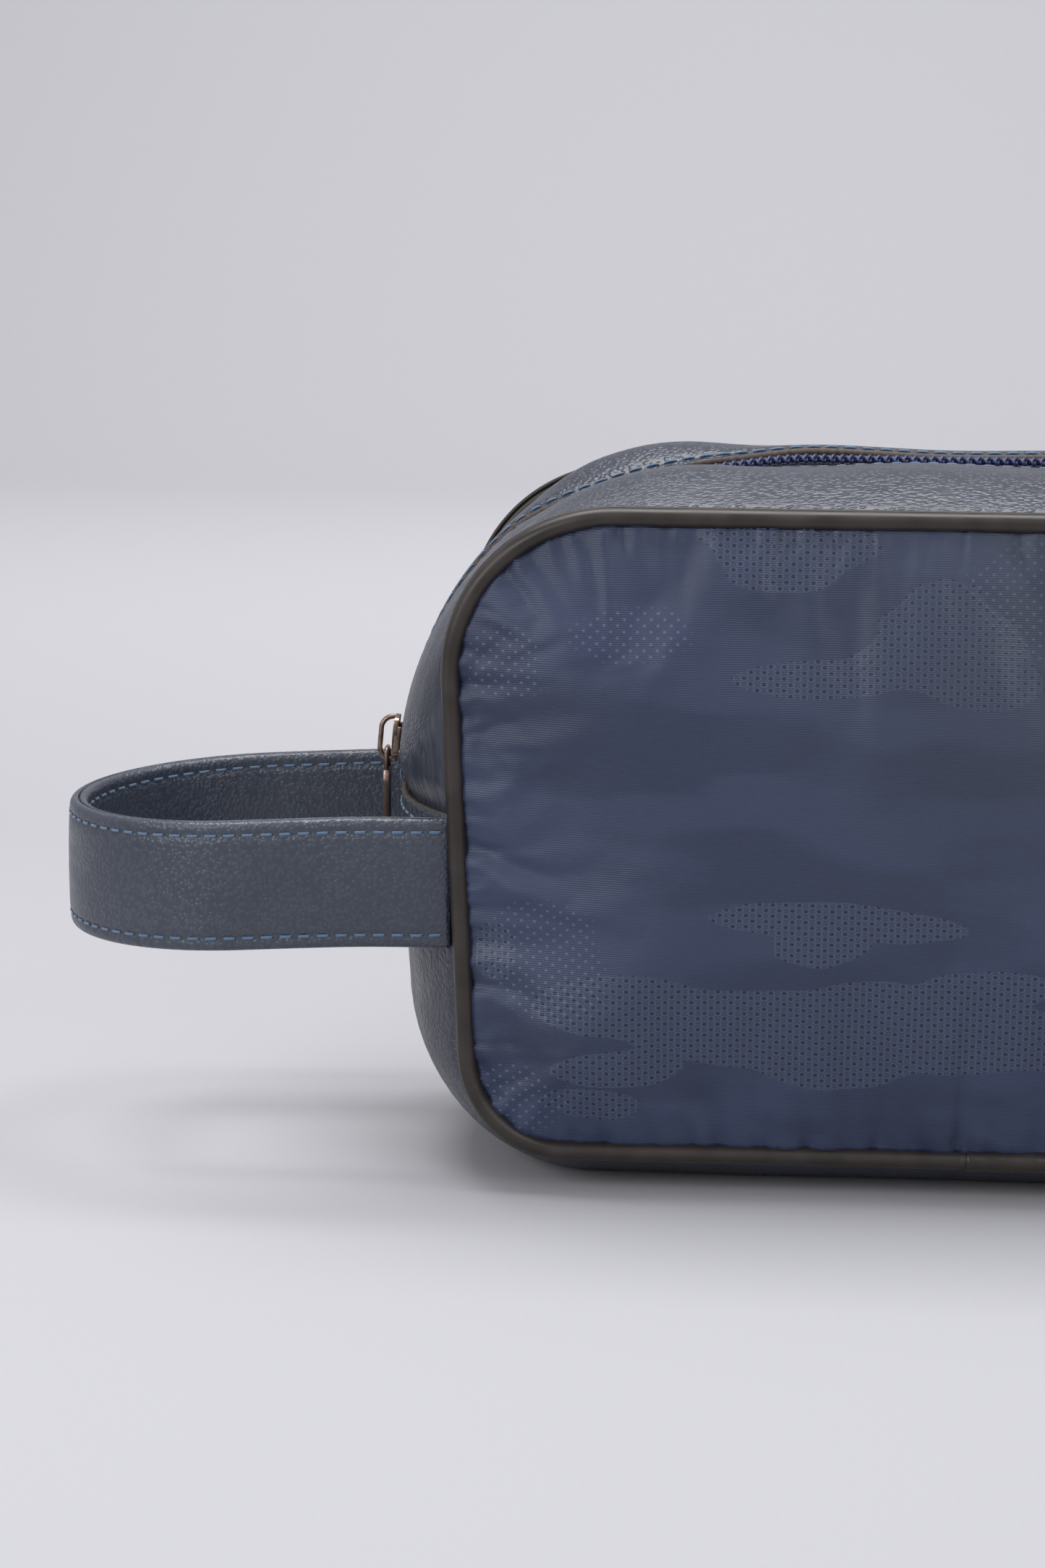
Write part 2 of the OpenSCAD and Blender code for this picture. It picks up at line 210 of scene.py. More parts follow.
def frames_along(path, loop, hint=None):
    """Unit tangents and two unit sides for every point of a path, without twist."""
    path = np.asarray(path, float)
    if loop:
        tangent = np.roll(path, -1, 0) - np.roll(path, 1, 0)
    else:
        tangent = np.gradient(path, axis=0)
    tangent /= np.linalg.norm(tangent, axis=1)[:, None]
    side = np.zeros_like(path)
    ref = np.array(hint if hint is not None else (0.0, 1.0, 0.0))
    for i, t in enumerate(tangent):
        ref = ref - t * ref.dot(t)
        ref /= np.linalg.norm(ref)
        side[i] = ref
        if hint is not None:
            ref = np.array(hint, float)
    return tangent, side, np.cross(tangent, side)


def sweep(name, path, section, mats, loop=False, hint=None, scale=None):
    """A closed section (m, 2), in metres, carried along a path. scale is (n, 2), for each path point."""
    path = np.asarray(path, float)
    _, side, up = frames_along(path, loop, hint)
    section = np.asarray(section, float)
    m, n = len(section), len(path)
    scale = np.ones((n, 2)) if scale is None else np.asarray(scale, float)
    ring = section[None, :, :] * scale[:, None, :]
    verts = path[:, None, :] + ring[:, :, :1] * side[:, None, :] + ring[:, :, 1:] * up[:, None, :]
    rows = np.arange(n + 1) % n if loop else np.arange(n)
    grid = rows[:, None] * m + np.arange(m + 1)[None, :] % m
    a, b, c, d = grid[:-1, :-1], grid[:-1, 1:], grid[1:, 1:], grid[1:, :-1]
    faces = [tuple(f) for f in np.stack([a, b, c, d], -1).reshape(-1, 4)]
    if not loop:
        faces += [tuple(range(m))[::-1], tuple(range((n - 1) * m, n * m))]
    along = arc_length(path)
    around = arc_length(np.vstack([section, section[:1]]))[:m]
    uvs = np.stack(np.broadcast_arrays(along[:, None], around[None, :]), -1).reshape(-1, 2)
    return face_outwards(make_object(name, verts.reshape(-1, 3), faces, uvs, mats))


def circle(radius, sides):
    a = np.linspace(0, 2 * math.pi, sides, endpoint=False)
    return np.stack([radius * np.cos(a), radius * np.sin(a)], -1)


def joined(name, objects):
    """One object from several, keeping their materials."""
    for o in bpy.context.selected_objects:
        o.select_set(False)
    for o in objects:
        o.select_set(True)
    bpy.context.view_layer.objects.active = objects[0]
    bpy.ops.object.join()
    objects[0].name = name
    objects[0].data.name = name
    return objects[0]


def stitches(name, path, out, mat):
    """A row of thread stitches lying on a path; out is the outward direction at each path point."""
    path, out = np.asarray(path, float), np.asarray(out, float)
    s = arc_length(path)
    count = int(s[-1] / STITCH_PITCH)
    stations = (np.arange(count) + 0.5) * s[-1] / count
    sides, rings = 6, 9
    verts, faces, uvs = [], [], []
    for c in stations:
        at = c + np.linspace(-0.5, 0.5, rings) * STITCH_LENGTH
        pos = np.stack([np.interp(at, s, path[:, k]) for k in range(3)], -1)
        up = np.stack([np.interp(at, s, out[:, k]) for k in range(3)], -1)
        up /= np.linalg.norm(up, axis=1)[:, None]
        along = pos[-1] - pos[0]
        along /= np.linalg.norm(along)
        side = np.cross(along, up)
        u = np.linspace(-1, 1, rings)
        lift = THREAD_R * (0.75 - 1.5 * u ** 4)
        width = THREAD_R * np.sqrt(np.clip(1.05 - u ** 6, 0.1, 1))
        base = len(verts)
        for k in range(rings):
            for a in np.linspace(0, 2 * math.pi, sides, endpoint=False):
                p = pos[k] + up[k] * (lift[k] + width[k] * 0.8 * math.sin(a))
                verts.append(p + side[k] * width[k] * math.cos(a))
                uvs.append((at[k] - c, a * THREAD_R))
        for k in range(rings - 1):
            for j in range(sides):
                i0, i1 = base + k * sides + j, base + k * sides + (j + 1) % sides
                faces.append((i0, i1, i1 + sides, i0 + sides))
        faces.append(tuple(base + j for j in range(sides))[::-1])
        faces.append(tuple(base + (rings - 1) * sides + j for j in range(sides)))
    return face_outwards(make_object(name, verts, faces, uvs, [mat]))


# ---------------------------------------------------------------- materials
class Shader:
    """A Principled material whose nodes are added by short calls."""

    def __init__(self, name, **values):
        self.material = bpy.data.materials.new(name)
        self.material.use_nodes = True
        self.tree = self.material.node_tree
        self.bsdf = self.tree.nodes["Principled BSDF"]
        for key, value in values.items():
            self.bsdf.inputs[key.replace("_", " ")].default_value = value

    def add(self, kind, *inputs, out=0, **props):
        node = self.tree.nodes.new(kind)
        for key, value in props.items():
            setattr(node, key, value)
        for i, value in enumerate(inputs):
            if value is not None:
                self.put(node.inputs[i], value)
        return node.outputs[out]

    def put(self, socket, value):
        if isinstance(value, bpy.types.NodeSocket):
            self.tree.links.new(value, socket)
        else:
            socket.default_value = value

    def math(self, op, a, b=None, c=None):
        return self.add("ShaderNodeMath", a, b, c, operation=op)

    def vector(self, op, a, b=None, out=0):
        return self.add("ShaderNodeVectorMath", a, b, operation=op, out=out)

    def uv(self):
        return self.add("ShaderNodeUVMap", uv_map="cut")

    def place(self):
        return self.add("ShaderNodeTexCoord", out=3)

    def split(self, vector):
        node = self.tree.nodes.new("ShaderNodeSeparateXYZ")
        self.put(node.inputs[0], vector)
        return node.outputs[0], node.outputs[1]

    def scaled(self, vector, x, y, z=1.0):
        return self.vector("MULTIPLY", vector, (x, y, z))

    def noise(self, vector, scale, detail=2.0, rough=0.5):
        node = self.tree.nodes.new("ShaderNodeTexNoise")
        self.put(node.inputs["Vector"], vector)
        node.inputs["Scale"].default_value = scale
        node.inputs["Detail"].default_value = detail
        node.inputs["Roughness"].default_value = rough
        return node.outputs[0]

    def cells(self, vector, scale):
        node = self.tree.nodes.new("ShaderNodeTexVoronoi")
        self.put(node.inputs["Vector"], vector)
        node.inputs["Scale"].default_value = scale
        return node.outputs["Distance"]

    def ramp(self, value, low, high, to_low=0.0, to_high=1.0, smooth=True):
        node = self.tree.nodes.new("ShaderNodeMapRange")
        node.interpolation_type = "SMOOTHSTEP" if smooth else "LINEAR"
        for i, v in enumerate((value, low, high, to_low, to_high)):
            self.put(node.inputs[i], v)
        return node.outputs[0]

    def mix(self, factor, a, b):
        node = self.tree.nodes.new("ShaderNodeMix")
        node.data_type = "RGBA"
        self.put(node.inputs[0], factor)
        self.put(node.inputs[6], a if isinstance(a, bpy.types.NodeSocket) else (*a, 1.0))
        self.put(node.inputs[7], b if isinstance(b, bpy.types.NodeSocket) else (*b, 1.0))
        return node.outputs[2]

    def bump(self, height, distance, strength=1.0, normal=None):
        node = self.tree.nodes.new("ShaderNodeBump")
        node.inputs["Strength"].default_value = strength
        node.inputs["Distance"].default_value = distance
        self.put(node.inputs["Height"], height)
        if normal is not None:
            self.put(node.inputs["Normal"], normal)
        return node.outputs[0]

    def finish(self, color=None, roughness=None, normal=None):
        for key, value in (("Base Color", color), ("Roughness", roughness), ("Normal", normal)):
            if value is not None:
                self.put(self.bsdf.inputs[key], value)
        return self.material


def waves(sh, coordinate, period):
    """A sine of a coordinate in metres, from 0 to 1."""
    turned = sh.math("MULTIPLY_ADD", coordinate, 2 * math.pi / period, 0.0)
    return sh.math("MULTIPLY_ADD", sh.math("SINE", turned), 0.5, 0.5)


def dots(sh, u, v, pitch_u, pitch_v, radius):
    """A staggered lattice of soft round dots: 1 on a dot, 0 between.

    400 cells are added so that no coordinate is negative.
    """
    row = sh.math("DIVIDE", v, pitch_v)
    odd = sh.math("MULTIPLY", sh.math("MODULO", sh.math("FLOOR", sh.math("ADD", row, 400.0)), 2.0), 0.5)
    col = sh.math("ADD", sh.math("DIVIDE", u, pitch_u), odd)

    def from_middle(cell, pitch):
        part = sh.math("FRACT", sh.math("ADD", cell, 400.0))
        return sh.math("MULTIPLY", sh.math("SUBTRACT", part, 0.5), pitch)

    du, dv = from_middle(col, pitch_u), from_middle(row, pitch_v)
    dist = sh.math("SQRT", sh.math("ADD", sh.math("MULTIPLY", du, du),
                                   sh.math("MULTIPLY", sh.math("MULTIPLY", dv, dv), 1.3)))
    return sh.ramp(dist, radius * 0.7, radius * 1.15, 1.0, 0.0)


# Patches of the camouflage, in mm on the front panel: middle x and z, half width and half height
HOLE_PATCHES = [
    (-41, 154, 21, 14), (-10, 129, 17, 13), (-3, 120, 14, 6), (-36, 121, 20, 4),
    (-31, 67, 29, 4.5), (-36, 61, 13, 5), (-80, 46, 19, 7), (-46, 42, 32, 8), (-10, 42, 30, 11),
    (4, 53, 16, 4.5), (-28, 32, 16, 6), (24, 40, 22, 8), (-81, 31, 15, 5), (-84, 23, 10, 4),
    (-108, 57, 5, 7), (62, 141, 28, 9), (88, 117, 20, 6), (52, 96, 26, 6), (96, 80, 15, 8),
    (64, 58, 24, 6), (92, 37, 21, 8), (54, 21, 20, 4.5)]
DOT_PATCHES = [
    (12, 142, 15, 13), (-97, 57, 14, 15), (-103, 22, 10, 9), (-79, 130, 12, 6), (-106, 124, 9, 8),
    (80, 150, 16, 6), (106, 100, 8, 13), (34, 74, 14, 6), (78, 22, 18, 6), (34, 118, 12, 7)]


def patches(sh, uv, table, warp):
    """How deep a point lies in a group of oval patches, with ragged edges."""
    total = None
    for x, z, rx, rz in table:
        part = sh.vector("DIVIDE", sh.vector("SUBTRACT", uv, (x * MM, z * MM, 0.0)),
                         (rx * MM, rz * MM, 1.0))
        depth = sh.math("SUBTRACT", 1.0, sh.vector("LENGTH", part, out=1))
        total = depth if total is None else sh.math("SMOOTH_MAX", total, depth, 0.25)
    return sh.math("ADD", total, warp)


HOLE_PITCH = (2.93 * MM, 1.3 * MM)      # across and up, between dark holes with light rings
SPECK_PITCH = (3.0 * MM, 1.36 * MM)     # the same for the light specks


def camo_satin():
    sh = Shader("camo_satin", Sheen_Weight=0.12, Sheen_Roughness=0.35, Sheen_Tint=(0.55, 0.68, 1.0, 1),
                Specular_IOR_Level=0.4)
    uv = sh.uv()
    u, v = sh.split(uv)
    wavy = sh.noise(sh.scaled(uv, 22.0, 75.0), 1.0, 1.5, 0.45)
    warp = sh.ramp(wavy, 0.25, 0.75, -0.42, 0.42, smooth=False)
    hole_zone = sh.ramp(patches(sh, uv, HOLE_PATCHES, warp), -0.02, 0.03)
    dot_zone = sh.ramp(patches(sh, uv, DOT_PATCHES, warp), -0.1, 0.15)
    holes = dots(sh, u, v, *HOLE_PITCH, 0.56 * MM)
    specks = dots(sh, u, v, *SPECK_PITCH, 0.40 * MM)
    tone = sh.noise(sh.scaled(uv, 14.0, 42.0), 1.0, 2.0, 0.5)
    cloud = sh.ramp(tone, 0.44, 0.56)
    base = sh.mix(cloud, (0.0200, 0.0280, 0.0610), (0.0280, 0.0385, 0.0800))
    rings = dots(sh, u, v, *HOLE_PITCH, 0.98 * MM)
    lit = sh.mix(rings, (0.0300, 0.0405, 0.0800), (0.0560, 0.0700, 0.1180))
    lit = sh.mix(holes, lit, (0.0090, 0.0125, 0.0280))
    color = sh.mix(sh.math("MULTIPLY", hole_zone, 0.9), base, lit)
    speck = sh.math("MULTIPLY", specks, dot_zone)
    color = sh.mix(sh.math("MULTIPLY", speck, 0.75), color, (0.080, 0.102, 0.180))
    greyer = sh.math("MULTIPLY", sh.ramp(u, -0.07, 0.03), sh.ramp(v, 0.05, 0.12))
    color = sh.mix(sh.math("MULTIPLY", greyer, 0.45), color, (0.034, 0.041, 0.052))
    thread = sh.noise(sh.scaled(uv, 420.0, 3600.0), 1.0, 2.0, 0.7)
    rib = waves(sh, v, 0.5 * MM)
    # Painted highlight: the crests of the fine ribs are lightened where the thread noise is high.
    rib_highlight = sh.math("MULTIPLY", rib, sh.ramp(thread, 0.3, 0.75))
    color = sh.mix(sh.math("MULTIPLY", rib_highlight, 0.11), color, (0.085, 0.110, 0.190))
    rough = sh.math("MULTIPLY_ADD", hole_zone, -0.08, 0.46)
    relief = sh.math("MULTIPLY_ADD", holes, sh.math("MULTIPLY", hole_zone, -0.8), rib)
    normal = sh.bump(sh.math("MULTIPLY_ADD", thread, 0.9, relief), 0.08 * MM, 0.45)
    return sh.finish(color, rough, normal)


def pebble_leather(name, color, worn, roughness=0.43, per_metre=820.0, relief=0.20 * MM):
    sh = Shader(name, Specular_IOR_Level=0.5)
    uv = sh.uv()
    drift = sh.add("ShaderNodeTexNoise", uv, None, 260.0, out=1)
    bent = sh.vector("ADD", uv, sh.scaled(drift, 0.0006, 0.0006, 0.0))
    cell = sh.cells(bent, per_metre)
    groove = sh.ramp(cell, 0.15, 0.75, 1.0, 0.0)
    small = sh.cells(bent, per_metre * 2.4)
    fine = sh.noise(uv, 5200.0, 2.0)
    height = sh.math("ADD", groove, sh.math("MULTIPLY", sh.math("SUBTRACT", 1.0, small), 0.28))
    height = sh.math("ADD", height, sh.math("MULTIPLY", fine, 0.12))
    crease = sh.noise(sh.scaled(uv, 60.0, 160.0), 1.0, 4.0, 0.6)
    tone = sh.noise(uv, 22.0, 3.0)
    base = sh.mix(sh.ramp(tone, 0.35, 0.7), color, worn)
    # Painted shade: the hollows between the pebbles are darkened, down to 0.55 of the colour.
    base = sh.mix(sh.math("MULTIPLY", sh.math("SUBTRACT", 1.0, groove), 0.5), base,
                  tuple(c * 0.55 for c in color))
    rough = sh.ramp(crease, 0.3, 0.7, roughness - 0.06, roughness + 0.08)
    normal = sh.bump(crease, 0.6 * MM, 0.4)
    normal = sh.bump(height, relief, 0.9, normal)
    return sh.finish(base, rough, normal)


def raw_edge():
    sh = Shader("raw_edge", Roughness=0.6)
    uv = sh.uv()
    grain = sh.noise(sh.scaled(uv, 900.0, 300.0), 1.0, 3.0)
    color = sh.mix(sh.ramp(grain, 0.3, 0.7), (0.030, 0.020, 0.015), (0.075, 0.050, 0.036))
    return sh.finish(color, None, sh.bump(grain, 0.1 * MM, 0.6))


def piping_satin():
    sh = Shader("piping_satin", Specular_IOR_Level=0.38)
    uv = sh.uv()
    u, v = sh.split(uv)
    twill = waves(sh, sh.math("ADD", u, sh.math("MULTIPLY", v, 1.1)), 0.42 * MM)
    soft = sh.noise(sh.scaled(uv, 120.0, 60.0), 1.0, 3.0)
    crease = sh.noise(sh.scaled(uv, 420.0, 90.0), 1.0, 2.0)
    color = sh.mix(sh.ramp(soft, 0.3, 0.7), (0.019, 0.0142, 0.0118), (0.030, 0.0232, 0.0195))
    height = sh.math("MULTIPLY_ADD", crease, 0.3, sh.math("MULTIPLY", twill, 0.3))
    rough = sh.ramp(soft, 0.3, 0.7, 0.30, 0.42)
    return sh.finish(color, rough, sh.bump(height, 0.10 * MM, 0.45))


def woven(name, dark, light, period=0.5 * MM, roughness=0.6, strength=0.6):
    """A plain weave of two tones."""
    sh = Shader(name, Roughness=roughness, Sheen_Weight=0.1)
    u, v = sh.split(sh.uv())
    a, b = waves(sh, u, period), waves(sh, v, period)
    over = sh.math("ADD", sh.math("MULTIPLY", a, b),
                   sh.math("MULTIPLY", sh.math("SUBTRACT", 1.0, a), sh.math("SUBTRACT", 1.0, b)))
    soft = sh.noise(sh.uv(), 90.0, 3.0)
    color = sh.mix(sh.math("MULTIPLY_ADD", soft, 0.5, sh.math("MULTIPLY", over, 0.5)), dark, light)
    return sh.finish(color, None, sh.bump(over, 0.12 * MM, strength))


def herringbone_tape():
    sh = Shader("zip_tape", Roughness=0.62)
    u, v = sh.split(sh.uv())
    zigzag = sh.math("PINGPONG", v, 1.2 * MM)
    ribs = waves(sh, sh.math("ADD", u, zigzag), 0.55 * MM)
    color = sh.mix(ribs, (0.012, 0.015, 0.028), (0.032, 0.040, 0.070))
    return sh.finish(color, None, sh.bump(ribs, 0.12 * MM, 0.7))


def nylon_coil():
    sh = Shader("zip_coil", Specular_IOR_Level=0.5)
    tone = sh.noise(sh.uv(), 300.0, 2.0)
    color = sh.mix(tone, (0.020, 0.026, 0.075), (0.036, 0.046, 0.120))
    return sh.finish(color, sh.ramp(tone, 0.3, 0.7, 0.36, 0.48), sh.bump(tone, 0.05 * MM, 0.4))


def blue_thread():
    sh = Shader("blue_thread", Roughness=0.55, Sheen_Weight=0.3)
    u, v = sh.split(sh.uv())
    ply = waves(sh, sh.math("ADD", u, sh.math("MULTIPLY", v, 1.2)), 0.55 * MM)
    color = sh.mix(ply, (0.030, 0.072, 0.140), (0.100, 0.185, 0.315))
    # Painted shade: the thread's ends, where it sinks into its needle holes, are darkened to near black.
    color = sh.mix(sh.ramp(sh.math("ABSOLUTE", u), 1.15 * MM, 1.45 * MM), color, (0.004, 0.006, 0.010))
    return sh.finish(color, None, sh.bump(ply, 0.1 * MM, 0.8))


def bronze_metal():
    sh = Shader("bronze_metal", Metallic=1.0)
    place = sh.place()
    patina = sh.noise(place, 260.0, 4.0, 0.65)
    brushed = sh.noise(sh.scaled(place, 300.0, 2600.0, 300.0), 1.0, 2.0)
    color = sh.mix(sh.ramp(patina, 0.35, 0.65), (0.150, 0.105, 0.082), (0.330, 0.245, 0.195))
    rough = sh.ramp(patina, 0.3, 0.7, 0.46, 0.28)
    return sh.finish(color, rough, sh.bump(brushed, 0.03 * MM, 0.35))


def foam_wadding():
    sh = Shader("foam", Roughness=0.9)
    place = sh.place()
    pores = sh.cells(place, 1500.0)
    color = sh.mix(sh.ramp(pores, 0.1, 0.6), (0.34, 0.33, 0.30), (0.62, 0.61, 0.57))
    return sh.finish(color, None, sh.bump(pores, 0.3 * MM, 0.7))


def cotton_cord():
    sh = Shader("cord", Roughness=0.85)
    u, v = sh.split(sh.uv())
    lay = waves(sh, sh.math("ADD", u, v), 1.3 * MM)
    color = sh.mix(lay, (0.34, 0.33, 0.30), (0.60, 0.59, 0.55))
    return sh.finish(color, None, sh.bump(lay, 0.25 * MM, 0.8))


MATS = {
    "camo": camo_satin(),
    "gusset": pebble_leather("gusset_leather", (0.032, 0.036, 0.052), (0.044, 0.050, 0.069), 0.33),
    "strap": pebble_leather("strap_leather", (0.0405, 0.0480, 0.0690), (0.054, 0.064, 0.088), 0.33,
                            1050.0, 0.11 * MM),
    "edge": raw_edge(),
    "piping": piping_satin(),
    "lining": woven("lining", (0.012, 0.014, 0.020), (0.032, 0.036, 0.048), 0.7 * MM, 0.5),
    "tape": herringbone_tape(),
    "coil": nylon_coil(),
    "thread": blue_thread(),
    "metal": bronze_metal(),
    "foam": foam_wadding(),
    "cord": cotton_cord(),
    "suede": woven("leather_back", (0.030, 0.031, 0.036), (0.060, 0.061, 0.068), 0.9 * MM, 0.9, 0.3),
}


# ---------------------------------------------------------------- the gusset's surface
def smooth(x):
    x = np.clip(x, 0, 1)
    return x * x * (3 - 2 * x)


def along_outline(points, index):
    """Points of an outline at fractional places in it, which may run past either end."""
    index = np.asarray(index, float) % COUNT
    low = np.floor(index).astype(int)
    part = (index - low)[..., None]
    return points[low % COUNT] * (1 - part) + points[(low + 1) % COUNT] * part


def zip_recess(mid):
    """How far the zip sinks at the upper corners: from where the slider stops to the top's flat part."""
    up = mid[..., 1] - (MT - MID_TOP_R)
    out = np.abs(mid[..., 0]) - (MX - MID_TOP_R)
    angle = np.degrees(np.arctan2(up, out))
    inwards = smooth((np.abs(mid[..., 0]) - 38 * MM) / (40 * MM))
    return ZIP_RECESS * inwards * smooth((angle - SLIDER_STOP) / 22)


def valley(y):
    """The sunken zip's section across the bag: -1 at the zip, and a low crest on either side of it."""
    back = 0.5 * np.exp(-((y - 19 * MM) / (8 * MM)) ** 2) - np.exp(-(y / (9 * MM)) ** 2)
    front = 0.15 * np.exp(-((y + 22 * MM) / (8 * MM)) ** 2) - np.exp(-(y / (12 * MM)) ** 2)
    return np.where(y < 0, front, back)


def gusset_surface(index, y, inset=0.0):
    """Points on the gusset at places along the outline and depths y, moved inward by inset."""
    index, y = np.broadcast_arrays(np.asarray(index, float), np.asarray(y, float))
    seam, mid = along_outline(SEAM, index), along_outline(MID, index)
    normal = along_outline(NORMAL, index)
    s = along_outline(SEAM_S[:, None], index)[..., 0]
    v = np.abs(y) / HD
    w = 1 - v ** WALL_POW
    dive = smooth((v - 0.9) / 0.072)
    w = w * (1 - dive) + 0.01 * dive
    near_seam = np.exp(-((1 - v) / 0.12) ** 2)
    side = np.where(y < 0, 0.0, 0.37)
    ripple = 0.34 * MM * wobble(s + side, 12 * MM, 11) * near_seam * (1 - dive)
    sag = 0.55 * MM * wobble(s + side, 75 * MM, 12) * np.clip(1 - v * v, 0, 1)
    from_edge = np.abs(y) - ZIP_EDGE
    above = smooth((seam[..., 1] - FOLD) / (4 * MM))
    stitched = 0.45 * np.exp(-((from_edge - STITCH_IN) / (1.5 * MM)) ** 2)
    pulled = stitched + 0.55 * smooth(1.1 - from_edge / (3 * MM))
    sag = sag - pulled * MM * above + zip_recess(mid) * valley(y)
    by_zip = np.exp(-((np.abs(y) - ZIP_EDGE) / (12 * MM)) ** 2) * smooth((seam[..., 1] - FOLD) / (35 * MM))
    slump = np.exp(-((seam[..., 0] + 57 * MM) / (19 * MM)) ** 2)
    on_top = smooth((95 * MM - np.abs(seam[..., 0])) / (20 * MM))
    step = np.where(y < 0, -(1.3 * MM + 0.5 * MM * slump) * on_top, 0.5 * MM + 0.6 * MM * slump)
    flat = seam + (mid - seam) * w[..., None] + normal * (ripple + sag + step * by_zip - inset)[..., None]
    z = flat[..., 1]
    z = 0.5 * (z + np.sqrt(z * z + (1.1 * MM) ** 2))
    z = np.maximum(z, 0.02 * MM + np.minimum(inset, 1.0) * 1.0)
    return np.stack([flat[..., 0], y, z], -1)


def inward(grid, depth):
    """A copy of a grid of points moved by depth along its normals, towards the inside of the bag."""
    du, dv = np.gradient(grid, axis=0), np.gradient(grid, axis=1)
    normal = np.cross(du, dv)
    normal /= np.linalg.norm(normal, axis=2)[..., None] + 1e-12
    out = grid - np.array([0, 0, ZM])
    flip = np.sign((normal * out).sum(2))[..., None]
    return grid - normal * flip * depth


def gusset_band(name, index, ys, mats, inset=0.0, thick=LEATHER_T, tuck=0.0, rim=1):
    """A closed band of gusset over a run of outline places and depths. uv is along and across."""
    index = np.asarray(index, float)
    outer = gusset_surface(index[None, :], np.asarray(ys)[:, None], inset)
    if tuck:
        low = 1 - smooth((outer[..., 2] - FOLD) / (8 * MM))
        outer = outer - np.array([1, 0, 0]) * np.sign(outer[..., :1]) * low[..., None] * tuck
    inner = inward(outer, thick)
    s = arc_length(along_outline(MID, index))
    across = np.concatenate([[0], np.cumsum(np.linalg.norm(np.diff(outer, axis=0), axis=2).mean(1))])
    uv = np.stack(np.broadcast_arrays(s[None, :], across[:, None]), -1)
    return slab(name, outer, inner, uv, mats, rim=rim, back=2 if len(mats) > 2 else 0)


def put(obj, slot, body, *nodes, padded=None):
    """Hangs a piece on its body's empty, except pieces of the mouth and the strap, whose transform is only
    baked, and hides the CAD nodes that it stands for. slot is not used.
    """
    if body in ("mouth_front", "mouth_back"):
        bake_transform(obj)
    elif body == "strap":
        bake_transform(obj)
    else:
        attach(obj, body)
    if nodes:
        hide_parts(*nodes)
    return obj


# Places along the outline, in steps of its points, for the two parts of the gusset
UPPER_RUN = np.arange(FOLD_I - 2, COUNT - FOLD_I + 2.01, 0.5)
LOWER_RUN = np.arange(-FOLD_I, FOLD_I + 0.01, 0.5)
EDGE_Y = HD - 1.3 * MM     # the gusset's edges end inside the piping
SIDES = (("front", -1), ("back", 1))
STRAP_LO, STRAP_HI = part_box("strap_tab_front")
STRAP_T = STRAP_HI.y - STRAP_LO.y
LEG_Y = -(STRAP_LO.y + STRAP_HI.y) / 2
STRAP_Z = (STRAP_LO.z + STRAP_HI.z) / 2
STRAP_H = STRAP_HI.z - STRAP_LO.z

# ---------------------------------------------------------------- gusset
lower_ys = np.concatenate([np.linspace(-EDGE_Y, -35 * MM, 12), np.linspace(-33 * MM, 33 * MM, 23),
                           np.linspace(35 * MM, EDGE_Y, 12)])
gusset = gusset_band("gusset_lower", LOWER_RUN, lower_ys, [MATS["gusset"], MATS["edge"], MATS["suede"]])
put(gusset, "gusset_leather", "lower_bag", "lower_gusset")
lining_ys = np.linspace(-HD + 3.7 * MM, HD - 3.7 * MM, 31)
base_lining = gusset_band("gusset_lower_lining", LOWER_RUN[2:-2], lining_ys, [MATS["lining"]],
                          LEATHER_T + 3.4 * MM, 0.7 * MM, rim=0)
put(base_lining, "lining", "lower_bag", "lower_gusset_lining")

for side_name, sign in SIDES:
    mouth = "mouth_" + side_name
    ys = sign * np.concatenate([np.linspace(ZIP_EDGE, 10 * MM, 10), np.linspace(12 * MM, 33 * MM, 10),
                                np.linspace(35 * MM, EDGE_Y, 12)])
    half = gusset_band("gusset_upper_" + side_name, UPPER_RUN, ys,
                       [MATS["gusset"], MATS["edge"], MATS["suede"]], tuck=1.9 * MM)
    put(half, "gusset_leather", mouth, "gusset_" + side_name)
    ys = sign * np.linspace(15.5 * MM, HD - 3.7 * MM, 14)
    inside = gusset_band("gusset_lining_" + side_name, UPPER_RUN, ys, [MATS["lining"]],
                         LEATHER_T + 1.4 * MM, 0.7 * MM, rim=0)
    put(inside, "lining", mouth, "gusset_" + side_name + "_lining")

# ---------------------------------------------------------------- zip
TAPE_DEPTH = 2.6 * MM      # below the outline of the gusset at mid-depth
COIL_DEPTH = 1.3 * MM
COIL_PITCH = 2.1 * MM


def on_mid(index, depth):
    """The zip's line at mid-depth, this deep below the leather, as (x, 0, z) and its outward normal."""
    mid, n = along_outline(MID, index), along_outline(NORMAL, index)
    at = mid - n * (depth + zip_recess(mid)[:, None])
    zero = np.zeros(len(at))
    return np.stack([at[:, 0], zero, at[:, 1]], -1), np.stack([n[:, 0], zero, n[:, 1]], -1)


def coil(name, sign):
    """One side's nylon coil: a flattened helix along the zip."""
    line, out = on_mid(UPPER_RUN, COIL_DEPTH)
    s = arc_length(line)
    turns = int(s[-1] / COIL_PITCH)
    steps = 14
    t = np.arange(turns * steps + 1) / steps
    at = t * COIL_PITCH
    base = np.stack([np.interp(at, s, line[:, k]) for k in range(3)], -1)
    up = np.stack([np.interp(at, s, out[:, k]) for k in range(3)], -1)
    angle = 2 * math.pi * (t + (0.5 if sign > 0 else 0.0))
    path = base + up * (0.62 * MM * np.sin(angle))[:, None]
    path[:, 1] += sign * (1.25 * MM + 1.15 * MM * np.cos(angle))
    return sweep(name, path, circle(0.42 * MM, 6), [MATS["coil"]])


